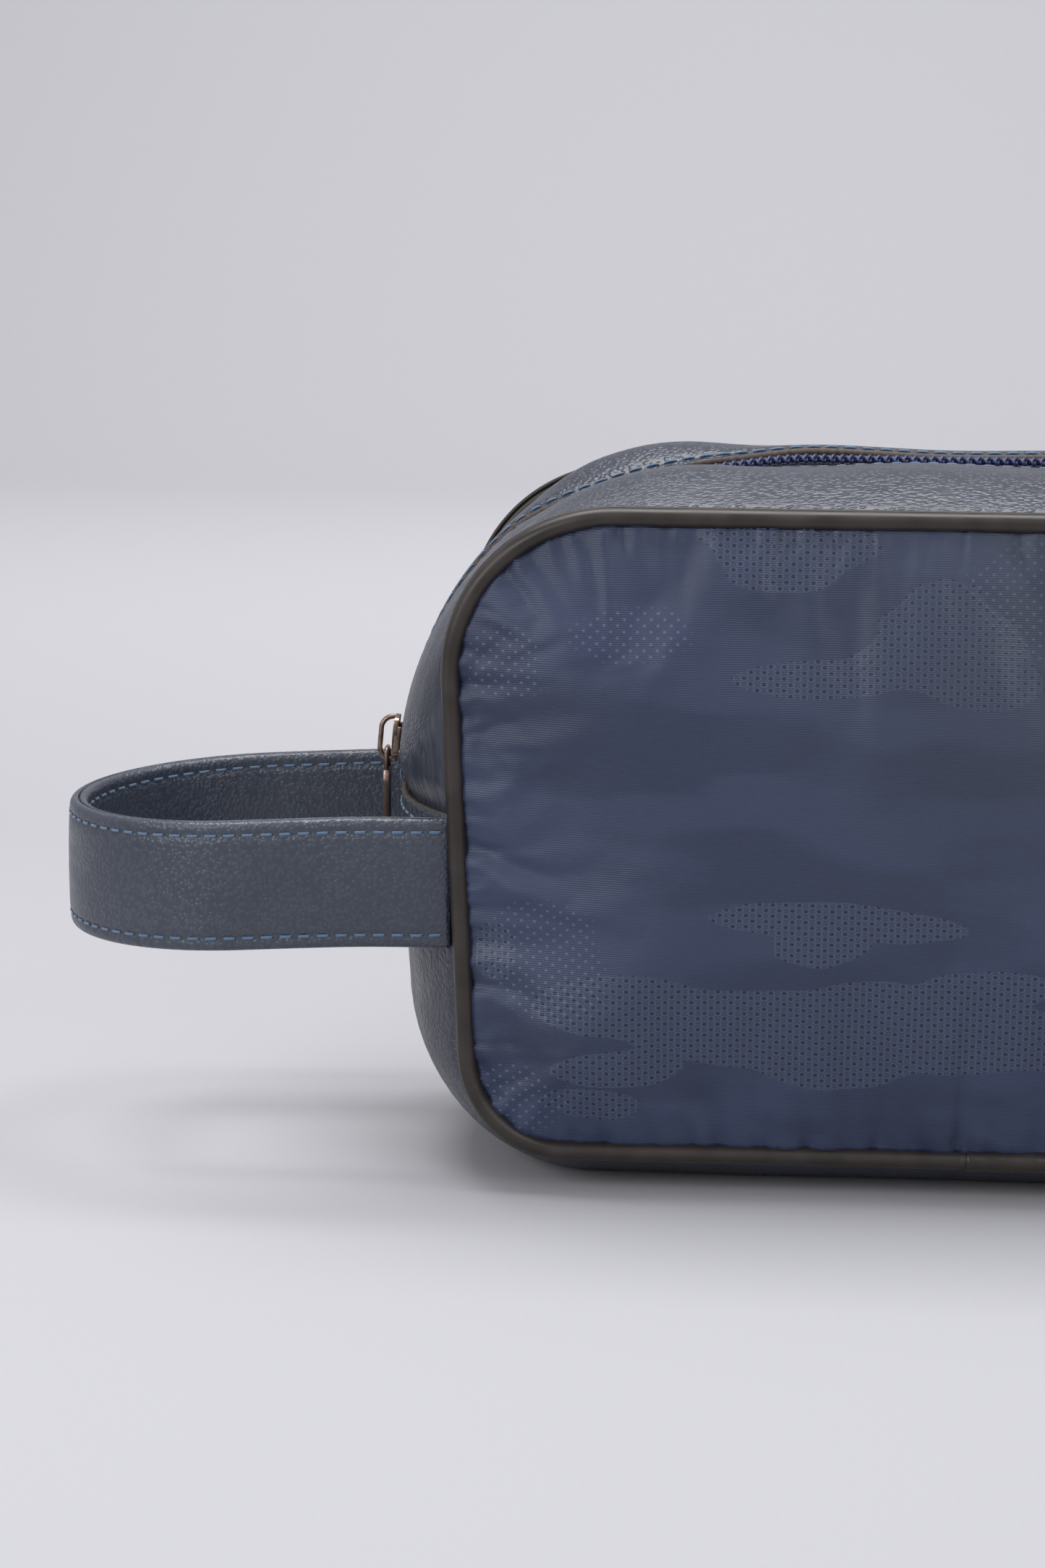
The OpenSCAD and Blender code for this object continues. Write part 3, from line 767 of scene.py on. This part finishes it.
for side_name, sign in SIDES:
    mouth = "mouth_" + side_name
    line, out = on_mid(UPPER_RUN, TAPE_DEPTH)
    ys = sign * np.array([0.6, 2.4, 2.6, 5, 8, 11, 14, 15]) * MM
    share = 1 + np.minimum(valley(ys), 0)
    rise = share[:, None, None] * zip_recess(along_outline(MID, UPPER_RUN))[None, :, None]
    tape_top = line[None, :, :] + np.array([0, 1, 0]) * ys[:, None, None] + out[None, :, :] * rise
    tape_low = tape_top - out[None, :, :] * 0.5 * MM
    uv = np.stack(np.broadcast_arrays(arc_length(line)[None, :], ys[:, None]), -1)
    tape = slab("tape_" + side_name, tape_top, tape_low, uv, [MATS["tape"]])
    put(tape, "zip_tape", mouth, "zip_tape_" + side_name)
    put(coil("coil_" + side_name, sign), "zip_coil", mouth, "zip_coil_" + side_name)


def surface_row(index, y):
    """A line on the gusset and its outward normals, for a row of stitches."""
    at = gusset_surface(index, y)
    n = along_outline(NORMAL, np.broadcast_arrays(np.asarray(index, float), at[:, 0])[0])
    return at, np.stack([n[:, 0], np.zeros(len(n)), n[:, 1]], -1)


for side_name, sign in SIDES:
    run = np.arange(FOLD_I + 0.4, COUNT - FOLD_I - 0.39, 0.5)
    row, out = surface_row(run, sign * (ZIP_EDGE + STITCH_IN))
    thread = stitches("zip_stitching_" + side_name, row, out, MATS["thread"])
    put(thread, None, "mouth_" + side_name)
for end_name, index in (("right", FOLD_I - 1.05), ("left", COUNT - FOLD_I + 1.05)):
    row, out = surface_row(index, np.linspace(-HD + 4.5 * MM, HD - 4.5 * MM, 60))
    thread = stitches("end_stitching_" + end_name, row, out, MATS["thread"])
    put(thread, None, "lower_bag")

# ---------------------------------------------------------------- padded panels
PANEL_GAP = PIPE_R - 0.3 * MM    # the panel starts just under the piping
FABRIC_T = 1.2 * MM
FOAM_T = 4.6 * MM
LINING_T = 0.7 * MM
CROWN_W = 48 * MM          # the panel rises to its full crown over this distance from the seam
CELLS_X, CELLS_Z = 112, 72
SWELL_CAP = 3.2 * MM       # the furthest that the simulation may move a point
SWELL_PRESSURE = 2.5
SWELL_GROW = 0.012         # the cloth is this share larger than its frame
SWELL_STEPS = 20
LAYER_GAP = 0.15 * MM      # between the panel, its padding and its lining
PROUD = 2.6 * MM           # how far the fabric may stand proud of the CAD's crown
CORNERS = (33, 83, COUNT - 83, COUNT - 33)   # the middles of the four corners in an outline
DENSE = along_outline(SEAM, np.arange(0, COUNT, 0.2))
DENSE_S = along_outline(SEAM_S[:, None], np.arange(0, COUNT, 0.2))[:, 0]


def panel_grid(gap, cells_x, cells_z):
    """Places (x, z) that fill the face, ring by ring, this far inside the seam: a grid (z, x, 2)."""
    edge = SEAM - NORMAL * gap
    low_right, top_right, top_left, low_left = CORNERS
    runs = {"right": (low_right, top_right), "top": (top_left, top_right),
            "left": (low_left, top_left), "bottom": (low_left - COUNT, low_right)}
    curves = {}
    for key, (a, b) in runs.items():
        points = along_outline(edge, np.linspace(a, b, 400))
        curves[key] = (points, arc_length(points))
    s = np.linspace(-1, 1, cells_x + 1)[None, :].repeat(cells_z + 1, 0)
    t = np.linspace(-1, 1, cells_z + 1)[:, None].repeat(cells_x + 1, 1)
    r = np.maximum(np.maximum(abs(s), abs(t)), 1e-9)
    bs, bt = s / r, t / r
    out = np.zeros(s.shape + (2,))
    edge_at = 1 - 1e-9
    masks = {"right": bs >= edge_at, "left": bs <= -edge_at, "top": bt >= edge_at, "bottom": bt <= -edge_at}
    for key, (points, length) in curves.items():
        share = (bt if key in ("right", "left") else bs) * 0.5 + 0.5
        for k in (0, 1):
            value = np.interp(share * length[-1], length, points[:, k])
            out[..., k] = np.where(masks[key], value, out[..., k])
    centre = np.array([0, ZM])
    return centre + (out - centre) * r[..., None]


def seam_place(flat):
    """For each place (x, z) on the face: its distance from the seam and the place along the seam."""
    points = flat.reshape(-1, 2)
    near, place = np.zeros(len(points)), np.zeros(len(points))
    for start in range(0, len(points), 1000):
        part = points[start:start + 1000]
        gaps = np.linalg.norm(part[:, None, :] - DENSE[None, :, :], axis=2)
        near[start:start + 1000] = gaps.min(1)
        place[start:start + 1000] = DENSE_S[gaps.argmin(1)]
    return near.reshape(flat.shape[:2]), place.reshape(flat.shape[:2])


def puff(depth):
    return 1 - (1 - np.clip(depth / CROWN_W, 0, 1)) ** 2.2


def panel_relief(flat, depth, place, seed):
    """Gathers along the seam, a crease, a small bulge and slow unevenness, as a height over the crown."""
    x, z = flat[..., 0], flat[..., 1]
    gathers = wobble(place, 9.5 * MM, seed) * np.exp(-(depth / (8.5 * MM)) ** 1.3)
    drawn = wobble(place, 26 * MM, seed + 1) * np.exp(-(depth / (19 * MM)) ** 2)
    slow = wobble(x * 0.9 + z * 0.35, 70 * MM, seed + 2) * wobble(z - x * 0.2, 60 * MM, seed + 3)
    line = z - (76 * MM + (-100 * MM - x) * 0.36)
    reach = np.exp(-((x + 106 * MM) / (13 * MM)) ** 2)
    crease = -1.3 * MM * np.exp(-(line / (2.8 * MM)) ** 2) * reach
    ridge = 0.7 * MM * np.exp(-((line + 6 * MM) / (4 * MM)) ** 2) * reach
    knot = 1.0 * MM * np.exp(-(((x + 111 * MM) / (5 * MM)) ** 2 + ((z - 35 * MM) / (5 * MM)) ** 2))
    edge = np.clip(depth / (2.5 * MM), 0, 1)
    return (0.80 * MM * gathers + 0.75 * MM * drawn + 0.6 * MM * slow) * edge + crease + ridge + knot


def swell(obj, fixed):
    """Blows a sheet up with a short cloth simulation. Fixed points stay, SWELL_CAP limits the rest."""
    count = len(obj.data.vertices)
    before = np.zeros(count * 3)
    obj.data.vertices.foreach_get("co", before)
    before = before.reshape(-1, 3)
    group = obj.vertex_groups.new(name="sewn")
    group.add([int(i) for i in fixed], 1.0, "REPLACE")
    cloth = obj.modifiers.new("cloth", "CLOTH")
    values = cloth.settings
    values.quality = 5
    values.mass = 0.25
    values.vertex_group_mass = "sewn"
    values.pin_stiffness = 5
    values.use_pressure = True
    values.uniform_pressure_force = SWELL_PRESSURE
    values.shrink_min = -SWELL_GROW
    values.tension_stiffness = 30
    values.compression_stiffness = 30
    values.shear_stiffness = 15
    values.bending_stiffness = 0.5
    values.effector_weights.gravity = 0
    cloth.point_cache.frame_start = 1
    cloth.point_cache.frame_end = SWELL_STEPS
    for step in range(1, SWELL_STEPS + 1):
        bpy.context.scene.frame_set(step)
    shape = obj.evaluated_get(bpy.context.evaluated_depsgraph_get())
    after = np.zeros(count * 3)
    shape.data.vertices.foreach_get("co", after)
    bpy.context.scene.frame_set(1)
    obj.modifiers.remove(cloth)
    obj.vertex_groups.clear()
    move = after.reshape(-1, 3) - before
    size = np.linalg.norm(move, axis=1)
    print("swell", obj.name, "moved by up to", round(float(size.max()) * 1000, 2), "mm, mean",
          round(float(size.mean()) * 1000, 2))
    soft = SWELL_CAP * np.tanh(size / SWELL_CAP) / np.maximum(size, 1e-9)
    return before + move * soft[:, None]


def grid_faces(rows, cols):
    g = np.arange(rows * cols).reshape(rows, cols)
    return np.stack([g[:-1, :-1], g[:-1, 1:], g[1:, 1:], g[1:, :-1]], -1).reshape(-1, 4)


def doubled(grid):
    """A grid of vectors at twice as many cells, smoothed."""
    for axis in (0, 1):
        grid = np.moveaxis(grid, axis, 0)
        out = np.zeros((2 * grid.shape[0] - 1,) + grid.shape[1:])
        out[::2] = grid
        out[1::2] = (grid[:-1] + grid[1:]) / 2
        out[1:-1] = (out[:-2] + 2 * out[1:-1] + out[2:]) / 4
        grid = np.moveaxis(out, 0, axis)
    return grid


def fine_gathers(depth, place, seed):
    """Close, short pleats where the fabric is drawn into the seam, in groups along it."""
    pleats = wobble(place, 3.3 * MM, seed + 5) * np.exp(-(depth / (5.0 * MM)) ** 1.2)
    group = smooth(0.5 + 0.6 * wobble(place, 45 * MM, seed + 6))
    rng = np.random.default_rng(seed + 7)
    creases = np.zeros_like(depth)
    for start in np.arange(0, SEAM_S[-1], 13 * MM):
        at = start + rng.uniform(0, 9) * MM
        off = place - at - rng.uniform(-0.35, 0.35) * depth
        creases -= rng.uniform(0.5, 1.0) * np.exp(-(off / (1.0 * MM)) ** 2) * np.exp(
            -(depth / (rng.uniform(5, 14) * MM)) ** 2)
    edge = np.clip(depth / (1.5 * MM), 0.25, 1)
    return (0.50 * MM * pleats * (0.35 + 0.65 * group) + 0.95 * MM * creases) * edge


def make_panel(side_name, sign, seed):
    """Panel, padding and lining of one side, each a closed layer under the one before it."""
    def crowned(cells_x, cells_z):
        flat = panel_grid(PANEL_GAP, cells_x, cells_z)
        depth, place = seam_place(flat)
        bulge = (CROWN - 1.2 * MM) * puff(depth) + panel_relief(flat, depth, place, seed)
        return flat, depth, place, bulge

    flat, depth, place, bulge = crowned(CELLS_X, CELLS_Z)
    sheet = np.stack([flat[..., 0], sign * (HD + bulge), flat[..., 1]], -1)
    rows, cols = sheet.shape[:2]
    faces = grid_faces(rows, cols)
    if sign > 0:
        faces = faces[:, ::-1]
    blown = make_object(side_name + "_cloth", sheet.reshape(-1, 3), faces)
    grid = np.arange(rows * cols).reshape(rows, cols)
    border = np.concatenate([grid[0], grid[-1], grid[1:-1, 0], grid[1:-1, -1]])
    move = swell(blown, border).reshape(rows, cols, 3) - sheet
    bpy.data.objects.remove(blown)
    flat, depth, place, bulge = crowned(2 * CELLS_X, 2 * CELLS_Z)
    bulge = bulge + fine_gathers(depth, place, seed)
    sheet = np.stack([flat[..., 0], sign * (HD + bulge), flat[..., 1]], -1) + doubled(move)
    sheet[..., 1] = sign * np.clip(sheet[..., 1] * sign, HD - 0.9 * MM, HD + CROWN + PROUD)
    uv = flat.copy()
    if sign > 0:
        uv[..., 1] = 2 * ZM - uv[..., 1]
    inner = sheet - np.array([0, sign * FABRIC_T, 0])
    mouth = "mouth_" + side_name
    panel = slab(side_name + "_panel", sheet, inner, uv, [MATS["camo"]])
    put(panel, "camo_satin", mouth, side_name + "_panel_lower", side_name + "_panel_upper",
        padded=0.7)
    core = slice(4, -4, 2)
    outer = inner[core, core] - np.array([0, sign * LAYER_GAP, 0])
    thick = (0.35 + 0.65 * puff(depth[core, core] * 2.0))[..., None] * FOAM_T
    under = outer - np.array([0, sign, 0]) * thick
    pad = slab(side_name + "_padding", outer, under, uv[core, core], [MATS["foam"]])
    put(pad, "foam", mouth, side_name + "_padding_lower", side_name + "_padding_upper", padded=0.7)
    outer = under - np.array([0, sign * LAYER_GAP, 0])
    under = outer - np.array([0, sign * LINING_T, 0])
    inside = slab(side_name + "_lining", outer, under, uv[core, core], [MATS["lining"]])
    put(inside, "lining", mouth, side_name + "_lining_lower", side_name + "_lining_upper")


for number, (side_name, sign) in enumerate(SIDES):
    make_panel(side_name, sign, 20 + 10 * number)

# ---------------------------------------------------------------- piping
WELT_CORD_R = 1.15 * MM
BEAD_R = 0.5 * MM          # the thin ridge between the piping and the panel
JOINT_RUN = 23 * MM        # length of the overlapped joint, right of the middle of the bottom


def welt_section():
    """Round welt with a short seam allowance that points into the seam."""
    tail = np.array([(-1.9, 0.55), (-4.4, 0.5), (-4.4, -0.5), (-1.9, -0.55)]) * MM
    angles = np.radians(np.linspace(-163, 163, 20))
    ring = np.stack([PIPE_R * np.cos(angles), PIPE_R * np.sin(angles)], -1)
    return np.vstack([ring, tail])


for side_name, sign in SIDES:
    mouth = "mouth_" + side_name
    index = np.arange(0, COUNT, 0.5)
    seam, normal = along_outline(SEAM, index), along_outline(NORMAL, index)
    normal = normal / np.linalg.norm(normal, axis=1)[:, None]
    path = np.stack([seam[:, 0], np.full(len(seam), sign * HD), seam[:, 1]], -1)
    out = np.stack([normal[:, 0], np.zeros(len(seam)), normal[:, 1]], -1)
    depthward = np.array([0, -sign, 0])
    section = welt_section()
    s = arc_length(path)
    swollen = 1 + 0.010 * wobble(s, 14 * MM, 41) + 0.015 * wobble(s, 40 * MM, 42)
    turn = math.radians(38)
    axis_a = out * math.cos(turn) - depthward * math.sin(turn)
    axis_b = np.cross(np.gradient(path, axis=0), axis_a)
    axis_b /= np.linalg.norm(axis_b, axis=1)[:, None]
    ring = section[None, :, :] * swollen[:, None, None]
    verts = path[:, None] + ring[..., :1] * axis_a[:, None] + ring[..., 1:] * axis_b[:, None]
    m, n = len(section), len(path)
    grid = (np.arange(n + 1) % n)[:, None] * m + np.arange(m + 1)[None, :] % m
    faces = np.stack([grid[:-1, :-1], grid[:-1, 1:], grid[1:, 1:], grid[1:, :-1]], -1).reshape(-1, 4)
    around = arc_length(np.vstack([section, section[:1]]))[:m]
    uvs = np.stack(np.broadcast_arrays(s[:, None], around[None, :]), -1).reshape(-1, 2)
    welt = make_object(side_name + "_welt", verts.reshape(-1, 3), faces, uvs, [MATS["piping"]])
    face_outwards(welt)
    lap_x = np.linspace(-0.5 * MM, JOINT_RUN, 30)
    lap_path = np.stack([lap_x, np.full(30, sign * HD), np.full(30, ZB)], -1)
    grown = 1.13 + 0.05 * wobble(lap_x, 6 * MM, 43) - 0.12 * smooth((lap_x / JOINT_RUN - 0.6) / 0.4)
    lap = sweep(side_name + "_lap", lap_path, circle(PIPE_R, 20), [MATS["piping"]], hint=(0, 1, 0),
                scale=np.stack([grown, grown], -1))
    bead_at = path + out * 1.75 * MM + depthward * 1.75 * MM
    bead = sweep(side_name + "_bead", bead_at, circle(BEAD_R, 8), [MATS["piping"]], loop=True,
                 hint=(0, 1, 0))
    welt = joined(side_name + "_piping_welt", [welt, lap, bead])
    put(welt, "piping_satin", mouth, side_name + "_piping_lower", side_name + "_piping_upper")
    cord = sweep(side_name + "_piping_core", path, circle(WELT_CORD_R, 12), [MATS["cord"]], loop=True,
                 hint=(0, 1, 0))
    put(cord, "cord", mouth, side_name + "_piping_cord_lower", side_name + "_piping_cord_upper")

# ---------------------------------------------------------------- base padding
pad_lo, pad_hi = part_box("base_padding")
pad_x = np.linspace(pad_lo.x, pad_hi.x, 61)
pad_y = np.linspace(pad_lo.y, pad_hi.y, 21)
far = np.minimum((abs(pad_hi.x) - abs(pad_x))[None, :], (pad_hi.y - abs(pad_y))[:, None])
lift = smooth(far / (4 * MM) + 0.25)
pad_top = np.stack(np.broadcast_arrays(pad_x[None, :], pad_y[:, None],
                                       pad_lo.z + 0.2 * MM + (pad_hi.z - pad_lo.z - 0.2 * MM) * lift), -1)
pad_low = pad_top.copy()
pad_low[..., 2] = pad_lo.z
pad_uv = pad_top[..., :2]
board = slab("base_wadding", pad_top, pad_low, pad_uv, [MATS["foam"]])
put(board, "foam", "lower_bag", "base_padding", padded=0.8)

# ---------------------------------------------------------------- loop strap
STRAP_TIP = -212 * MM      # the loop's outermost point
DROOP = math.tan(math.radians(3))
DROOP_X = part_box("strap_tab_front")[0].x - 9 * MM
LOOP_X = STRAP_TIP + LEG_Y + STRAP_T / 2
CORE_T = 0.5 * MM
GROOVE_H = 11.9 * MM       # height of the stitched grooves over the strap's middle
SEWN_X = -118.4 * MM       # the strap's ends, under the piping


def strap_line():
    """The middle line of the loop from the front seam round to the back seam."""
    leg = np.linspace(SEWN_X, LOOP_X, 36, endpoint=False)
    turn = np.radians(np.linspace(-90, -270, 72))
    flat = [(x, -LEG_Y) for x in leg]
    flat += [(LOOP_X + LEG_Y * math.cos(a), LEG_Y * math.sin(a)) for a in turn]
    flat += [(x, LEG_Y) for x in leg[::-1]]
    flat = np.array(flat)
    below = DROOP_X - flat[:, 0]
    drop = DROOP * 0.5 * (below + np.sqrt(below ** 2 + (8 * MM) ** 2))
    lean = -1.2 * MM * smooth((-120 * MM - flat[:, 0]) / (90 * MM))
    return np.stack([flat[:, 0], flat[:, 1] + lean, STRAP_Z - drop], -1)


LOOP = strap_line()
LOOP_S = arc_length(LOOP)
PINCH = 0.55 + 0.45 * smooth(np.minimum(LOOP_S, LOOP_S[-1] - LOOP_S) / (9 * MM))
_, LOOP_UP, LOOP_IN = frames_along(LOOP, False, (0, 0, 1))


def leather_face(h):
    """How far a layer's outer face stands from the middle of the strap at height h."""
    full = STRAP_T / 2
    rolled = (1 - np.abs(h / (STRAP_H / 2)) ** 16) ** 0.42
    groove = 0.42 * MM * np.exp(-((np.abs(h) - GROOVE_H) / (0.75 * MM)) ** 2)
    dish = 0.22 * MM * (np.abs(h) < GROOVE_H) * (1 - (h / GROOVE_H) ** 2)
    return CORE_T / 2 + (full - CORE_T / 2 - 0.12 * MM) * rolled - groove + dish


def layer_section(toward):
    """Closed section (height, towards the inside of the loop) of one leather layer."""
    h = np.concatenate([np.linspace(-1, -0.93, 8, endpoint=False), np.linspace(-0.93, 0.93, 45),
                        np.linspace(0.93, 1, 9)[1:]]) * STRAP_H / 2
    face = np.stack([h, toward * leather_face(h)], -1)
    back = np.stack([h[::-6], np.full(len(h[::-6]), toward * (CORE_T / 2 - 0.05 * MM))], -1)
    return np.vstack([face, back[1:-1]])


squeeze = np.stack([np.ones(len(LOOP)), PINCH], -1)
for layer_name, toward, node in (("strap_leather_outer", -1, "strap_outer_layer"),
                                 ("strap_leather_inner", 1, "strap_inner_layer")):
    layer = sweep(layer_name, LOOP, layer_section(toward), [MATS["strap"]], hint=(0, 0, 1), scale=squeeze)
    extra = ("strap_tab_front", "strap_tab_back") if toward < 0 else ()
    put(layer, "strap_leather", "strap", node, *extra)
half_h, half_t = STRAP_H / 2 - 0.9 * MM, CORE_T / 2 - 0.06 * MM
flat_bar = np.array([(-half_h, -half_t), (half_h, -half_t), (half_h, half_t), (-half_h, half_t)])
core = sweep("strap_stiffener", LOOP[2:-2], flat_bar, [MATS["edge"]], hint=(0, 0, 1))
put(core, "cord", "strap", "strap_core")
for row_name, toward in (("outer", -1), ("inner", 1)):
    rows = []
    for h in (-GROOVE_H, GROOVE_H):
        stand = (leather_face(np.array(h)) * PINCH)[:, None] * toward
        line = LOOP + LOOP_UP * h + LOOP_IN * stand
        rows.append(stitches("row", line[1:-1], LOOP_IN[1:-1] * toward, MATS["thread"]))
    put(joined("strap_stitching_" + row_name, rows), None, "strap")

# ---------------------------------------------------------------- slider and pull tab
ARC = Vector(JOINTS["slider_run"]["pos_m"])
BODY_LO, BODY_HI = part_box("slider_body")
PLATE_OUT = ARC.x - BODY_LO.x    # radius of the slider's outer face about the arc's centre
PLATE_T = 1.0 * MM
PLATE_LEN = 11.5 * MM
SLIDER_A = math.asin(((BODY_LO.z + BODY_HI.z) / 2 - ARC.z) / PLATE_OUT)
UNDER_IN = PLATE_OUT - 7.5 * MM
UNDER_T = 0.9 * MM


def on_arc(s, radius):
    """A point on the slider's arc, s along it from the slider's middle, as x and z."""
    a = SLIDER_A + s / PLATE_OUT
    return ARC.x - radius * np.cos(a), ARC.z + radius * np.sin(a)


def arc_plate(name, length, width, r_in, r_out, shape, dome=0.0, y_mid=0.0):
    """A plate bent round the arc; shape gives its share of the width at each share of the length."""
    t = np.sin(np.linspace(-math.pi / 2, math.pi / 2, 33))
    row = np.sin(np.linspace(-math.pi / 2, math.pi / 2, 15))
    s = (t * length / 2)[None, :].repeat(len(row), 0)
    y = y_mid + row[:, None] * (shape(t) * width / 2)[None, :]
    rise = dome * (1 - row[:, None] ** 2) * (1 - (t ** 4))[None, :]
    layers = []
    for radius in (r_out + rise, np.full_like(s, r_in)):
        x, z = on_arc(s, radius)
        layers.append(np.stack([x, y, z], -1))
    return slab(name, layers[0], layers[1], np.stack([s, y], -1), [MATS["metal"]])


def heart(t):
    """Wide shoulders at the upper end, a narrower tail, both with round ends."""
    return (0.86 + 0.14 * smooth((t + 0.5) / 1.2)) * np.clip(1 - np.abs(t) ** 9, 0.05, 1) ** 0.4


def even(t):
    return np.clip(1 - np.abs(t) ** 10, 0.05, 1) ** 0.4


def bevelled(obj, width):
    """Applies a bevel to the sharp edges."""
    mod = obj.modifiers.new("bevel", "BEVEL")
    mod.width = width
    mod.segments = 2
    mod.limit_method = "ANGLE"
    mod.angle_limit = math.radians(40)
    with bpy.context.temp_override(object=obj, active_object=obj, selected_objects=[obj]):
        bpy.ops.object.modifier_apply(modifier=mod.name)
    return obj


parts = [arc_plate("plate", PLATE_LEN, 8 * MM, PLATE_OUT - PLATE_T, PLATE_OUT, heart, 0.25 * MM),
         arc_plate("under", PLATE_LEN, 7.2 * MM, UNDER_IN, UNDER_IN + UNDER_T, heart),
         arc_plate("post", PLATE_LEN * 0.45, 0.5 * MM, UNDER_IN + 0.2 * MM, PLATE_OUT - 0.2 * MM, even)]
for lip in (-1, 1):
    parts.append(arc_plate("lip", PLATE_LEN * 0.6, 0.7 * MM, PLATE_OUT - PLATE_T - 0.75 * MM,
                           PLATE_OUT - 0.4 * MM, even, 0.0, lip * 3.45 * MM))
for part in parts:
    bevelled(part, 0.16 * MM)
put(joined("slider_shell", parts), "bronze_metal", "slider", "slider_body")

TAB_LO, TAB_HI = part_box("pull_tab")
TAB_X = (TAB_LO.x + TAB_HI.x) / 2
BAR_Z = TAB_HI.z - 0.7 * MM      # the eye's crossbar
EYE_LEN = 5.2 * MM
EYE_HALF = 2.25 * MM
corner = np.radians(np.linspace(0, 90, 7))[:-1]
ring_path = []
for cy, cz, turn in ((1, 1, 0), (-1, 1, 90), (-1, -1, 180), (1, -1, 270)):
    for a in corner + math.radians(turn):
        ring_path.append((TAB_X, cy * (EYE_HALF - 1.0 * MM) + 1.0 * MM * math.cos(a),
                          BAR_Z - EYE_LEN / 2 + cz * (EYE_LEN / 2 - 1.0 * MM) + 1.0 * MM * math.sin(a)))
wire = np.stack([0.62 * MM * np.cos(np.linspace(0, 2 * math.pi, 12, endpoint=False)),
                 0.72 * MM * np.sin(np.linspace(0, 2 * math.pi, 12, endpoint=False))], -1)
eye = sweep("eye", ring_path, wire, [MATS["metal"]], loop=True, hint=(1, 0, 0))
blade_top, blade_low = BAR_Z - EYE_LEN + 0.4 * MM, TAB_LO.z
t = np.linspace(0, 1, 40)
share = np.sin(np.linspace(-math.pi / 2, math.pi / 2, 19))
blade_z = blade_top + (blade_low - blade_top) * np.sin(t * math.pi / 2)
below = np.clip((blade_z - blade_low) / TAB_HI.y, 0, 1)
half_w = TAB_HI.y * np.sqrt(np.clip(1 - (1 - below) ** 2, 0.002, 1))
half_w = half_w * (0.80 + 0.20 * smooth((blade_top - blade_z) / (2.2 * MM)))
y = share[:, None] * half_w[None, :]
rim = np.minimum((1 - np.abs(share))[:, None] * half_w[None, :], (blade_z - blade_low)[None, :])
rim = np.minimum(rim, (blade_top - blade_z)[None, :] + 0.3 * MM)
thick = 0.60 * MM - 0.20 * MM * smooth((rim - 0.7 * MM) / (0.5 * MM))
faces_x = [np.stack([TAB_X + d * thick, y, np.broadcast_to(blade_z, y.shape)], -1) for d in (-1, 1)]
blade = slab("blade", faces_x[0], faces_x[1], faces_x[0][..., 1:], [MATS["metal"]])
put(joined("zip_pull", [bevelled(blade, 0.12 * MM), eye]), "bronze_metal", "pull_tab", "pull_tab")
bail_mesh = frame["nodes"]["slider_bail"].data
bail_mesh.materials.clear()
bail_mesh.materials.append(MATS["metal"])

# ---------------------------------------------------------------- stage, lights and camera
def backdrop():
    """A seamless floor that curves up into a wall, far enough back for a view from behind the bag."""
    sh = Shader("paper", Roughness=0.85)
    grain = sh.noise(sh.place(), 900.0, 2.0)
    color = sh.mix(grain, (0.385, 0.380, 0.400), (0.405, 0.400, 0.420))
    sh.finish(color, None, sh.bump(grain, 0.05 * MM, 0.1))
    front, bend_at, radius, top = -2.6, 1.3, 0.7, 2.6
    profile = [(front, 0.0), (bend_at, 0.0)]
    for a in np.radians(np.linspace(-90, 0, 25)):
        profile.append((bend_at + radius * math.cos(a), radius + radius * math.sin(a)))
    profile.append((bend_at + radius, top))
    xs = (-2.5, 2.5)
    verts = [(x, y, z) for y, z in profile for x in xs]
    faces = [(2 * i, 2 * i + 1, 2 * i + 3, 2 * i + 2) for i in range(len(profile) - 1)]
    obj = make_object("backdrop", verts, faces, None, [sh.material])


def area_light(name, place, size, power, color=(1, 1, 1), target=(-0.1, 0, 0.08)):
    """A soft rectangular light that points at the bag."""
    data = bpy.data.lights.new(name, "AREA")
    data.shape = "RECTANGLE"
    data.size, data.size_y = size
    data.energy = power
    data.color = color
    lamp = bpy.data.objects.new(name, data)
    lamp.location = place
    lamp.visible_camera = False
    lamp.rotation_euler = (Vector(target) - Vector(place)).to_track_quat("-Z", "Y").to_euler()
    bpy.context.scene.collection.objects.link(lamp)


backdrop()
area_light("overhead", (-0.10, 0.12, 1.2), (1.1, 0.7), 17.5, (1.0, 1.0, 1.0))
area_light("front_left", (-1.1, -1.2, 0.8), (0.7, 0.7), 11.0, (0.98, 0.99, 1.0))
area_light("front_right", (0.9, -1.4, 1.0), (0.8, 0.7), 7.0, (0.98, 0.99, 1.0))
area_light("wall", (0.0, 0.75, 0.9), (1.6, 0.3), 13.0, (1.0, 1.0, 1.0), (0.0, 2.0, 0.35))
world = bpy.data.worlds.new("studio")
bpy.context.scene.world = world
world.use_nodes = True
world.node_tree.nodes["Background"].inputs["Color"].default_value = (0.92, 0.94, 1.0, 1)
world.node_tree.nodes["Background"].inputs["Strength"].default_value = 0.62
bpy.context.scene.view_settings.view_transform = "Standard"

LENS_MM, SENSOR_MM = 93.24, 36.0
CAMERA_AT = (-0.0511, -0.9396, 0.2693)
YAW, PITCH, ROLL = math.radians(-3.268), math.radians(11.0), math.radians(0.522)
forward = Vector((math.sin(YAW) * math.cos(PITCH), math.cos(YAW) * math.cos(PITCH), -math.sin(PITCH)))
right = Vector((math.cos(YAW), -math.sin(YAW), 0))
up = right.cross(forward)
across = right * math.cos(ROLL) + up * math.sin(ROLL)
above = up * math.cos(ROLL) - right * math.sin(ROLL)
lens = bpy.data.cameras.new("camera")
lens.sensor_fit = "VERTICAL"
lens.sensor_height = SENSOR_MM
lens.lens = LENS_MM
lens.clip_end = 20
camera = bpy.data.objects.new("camera", lens)
turned = Matrix((across, above, -forward)).transposed().to_4x4()
camera.matrix_world = Matrix.Translation(CAMERA_AT) @ turned
bpy.context.scene.collection.objects.link(camera)
bpy.context.scene.camera = camera
bpy.context.view_layer.update()
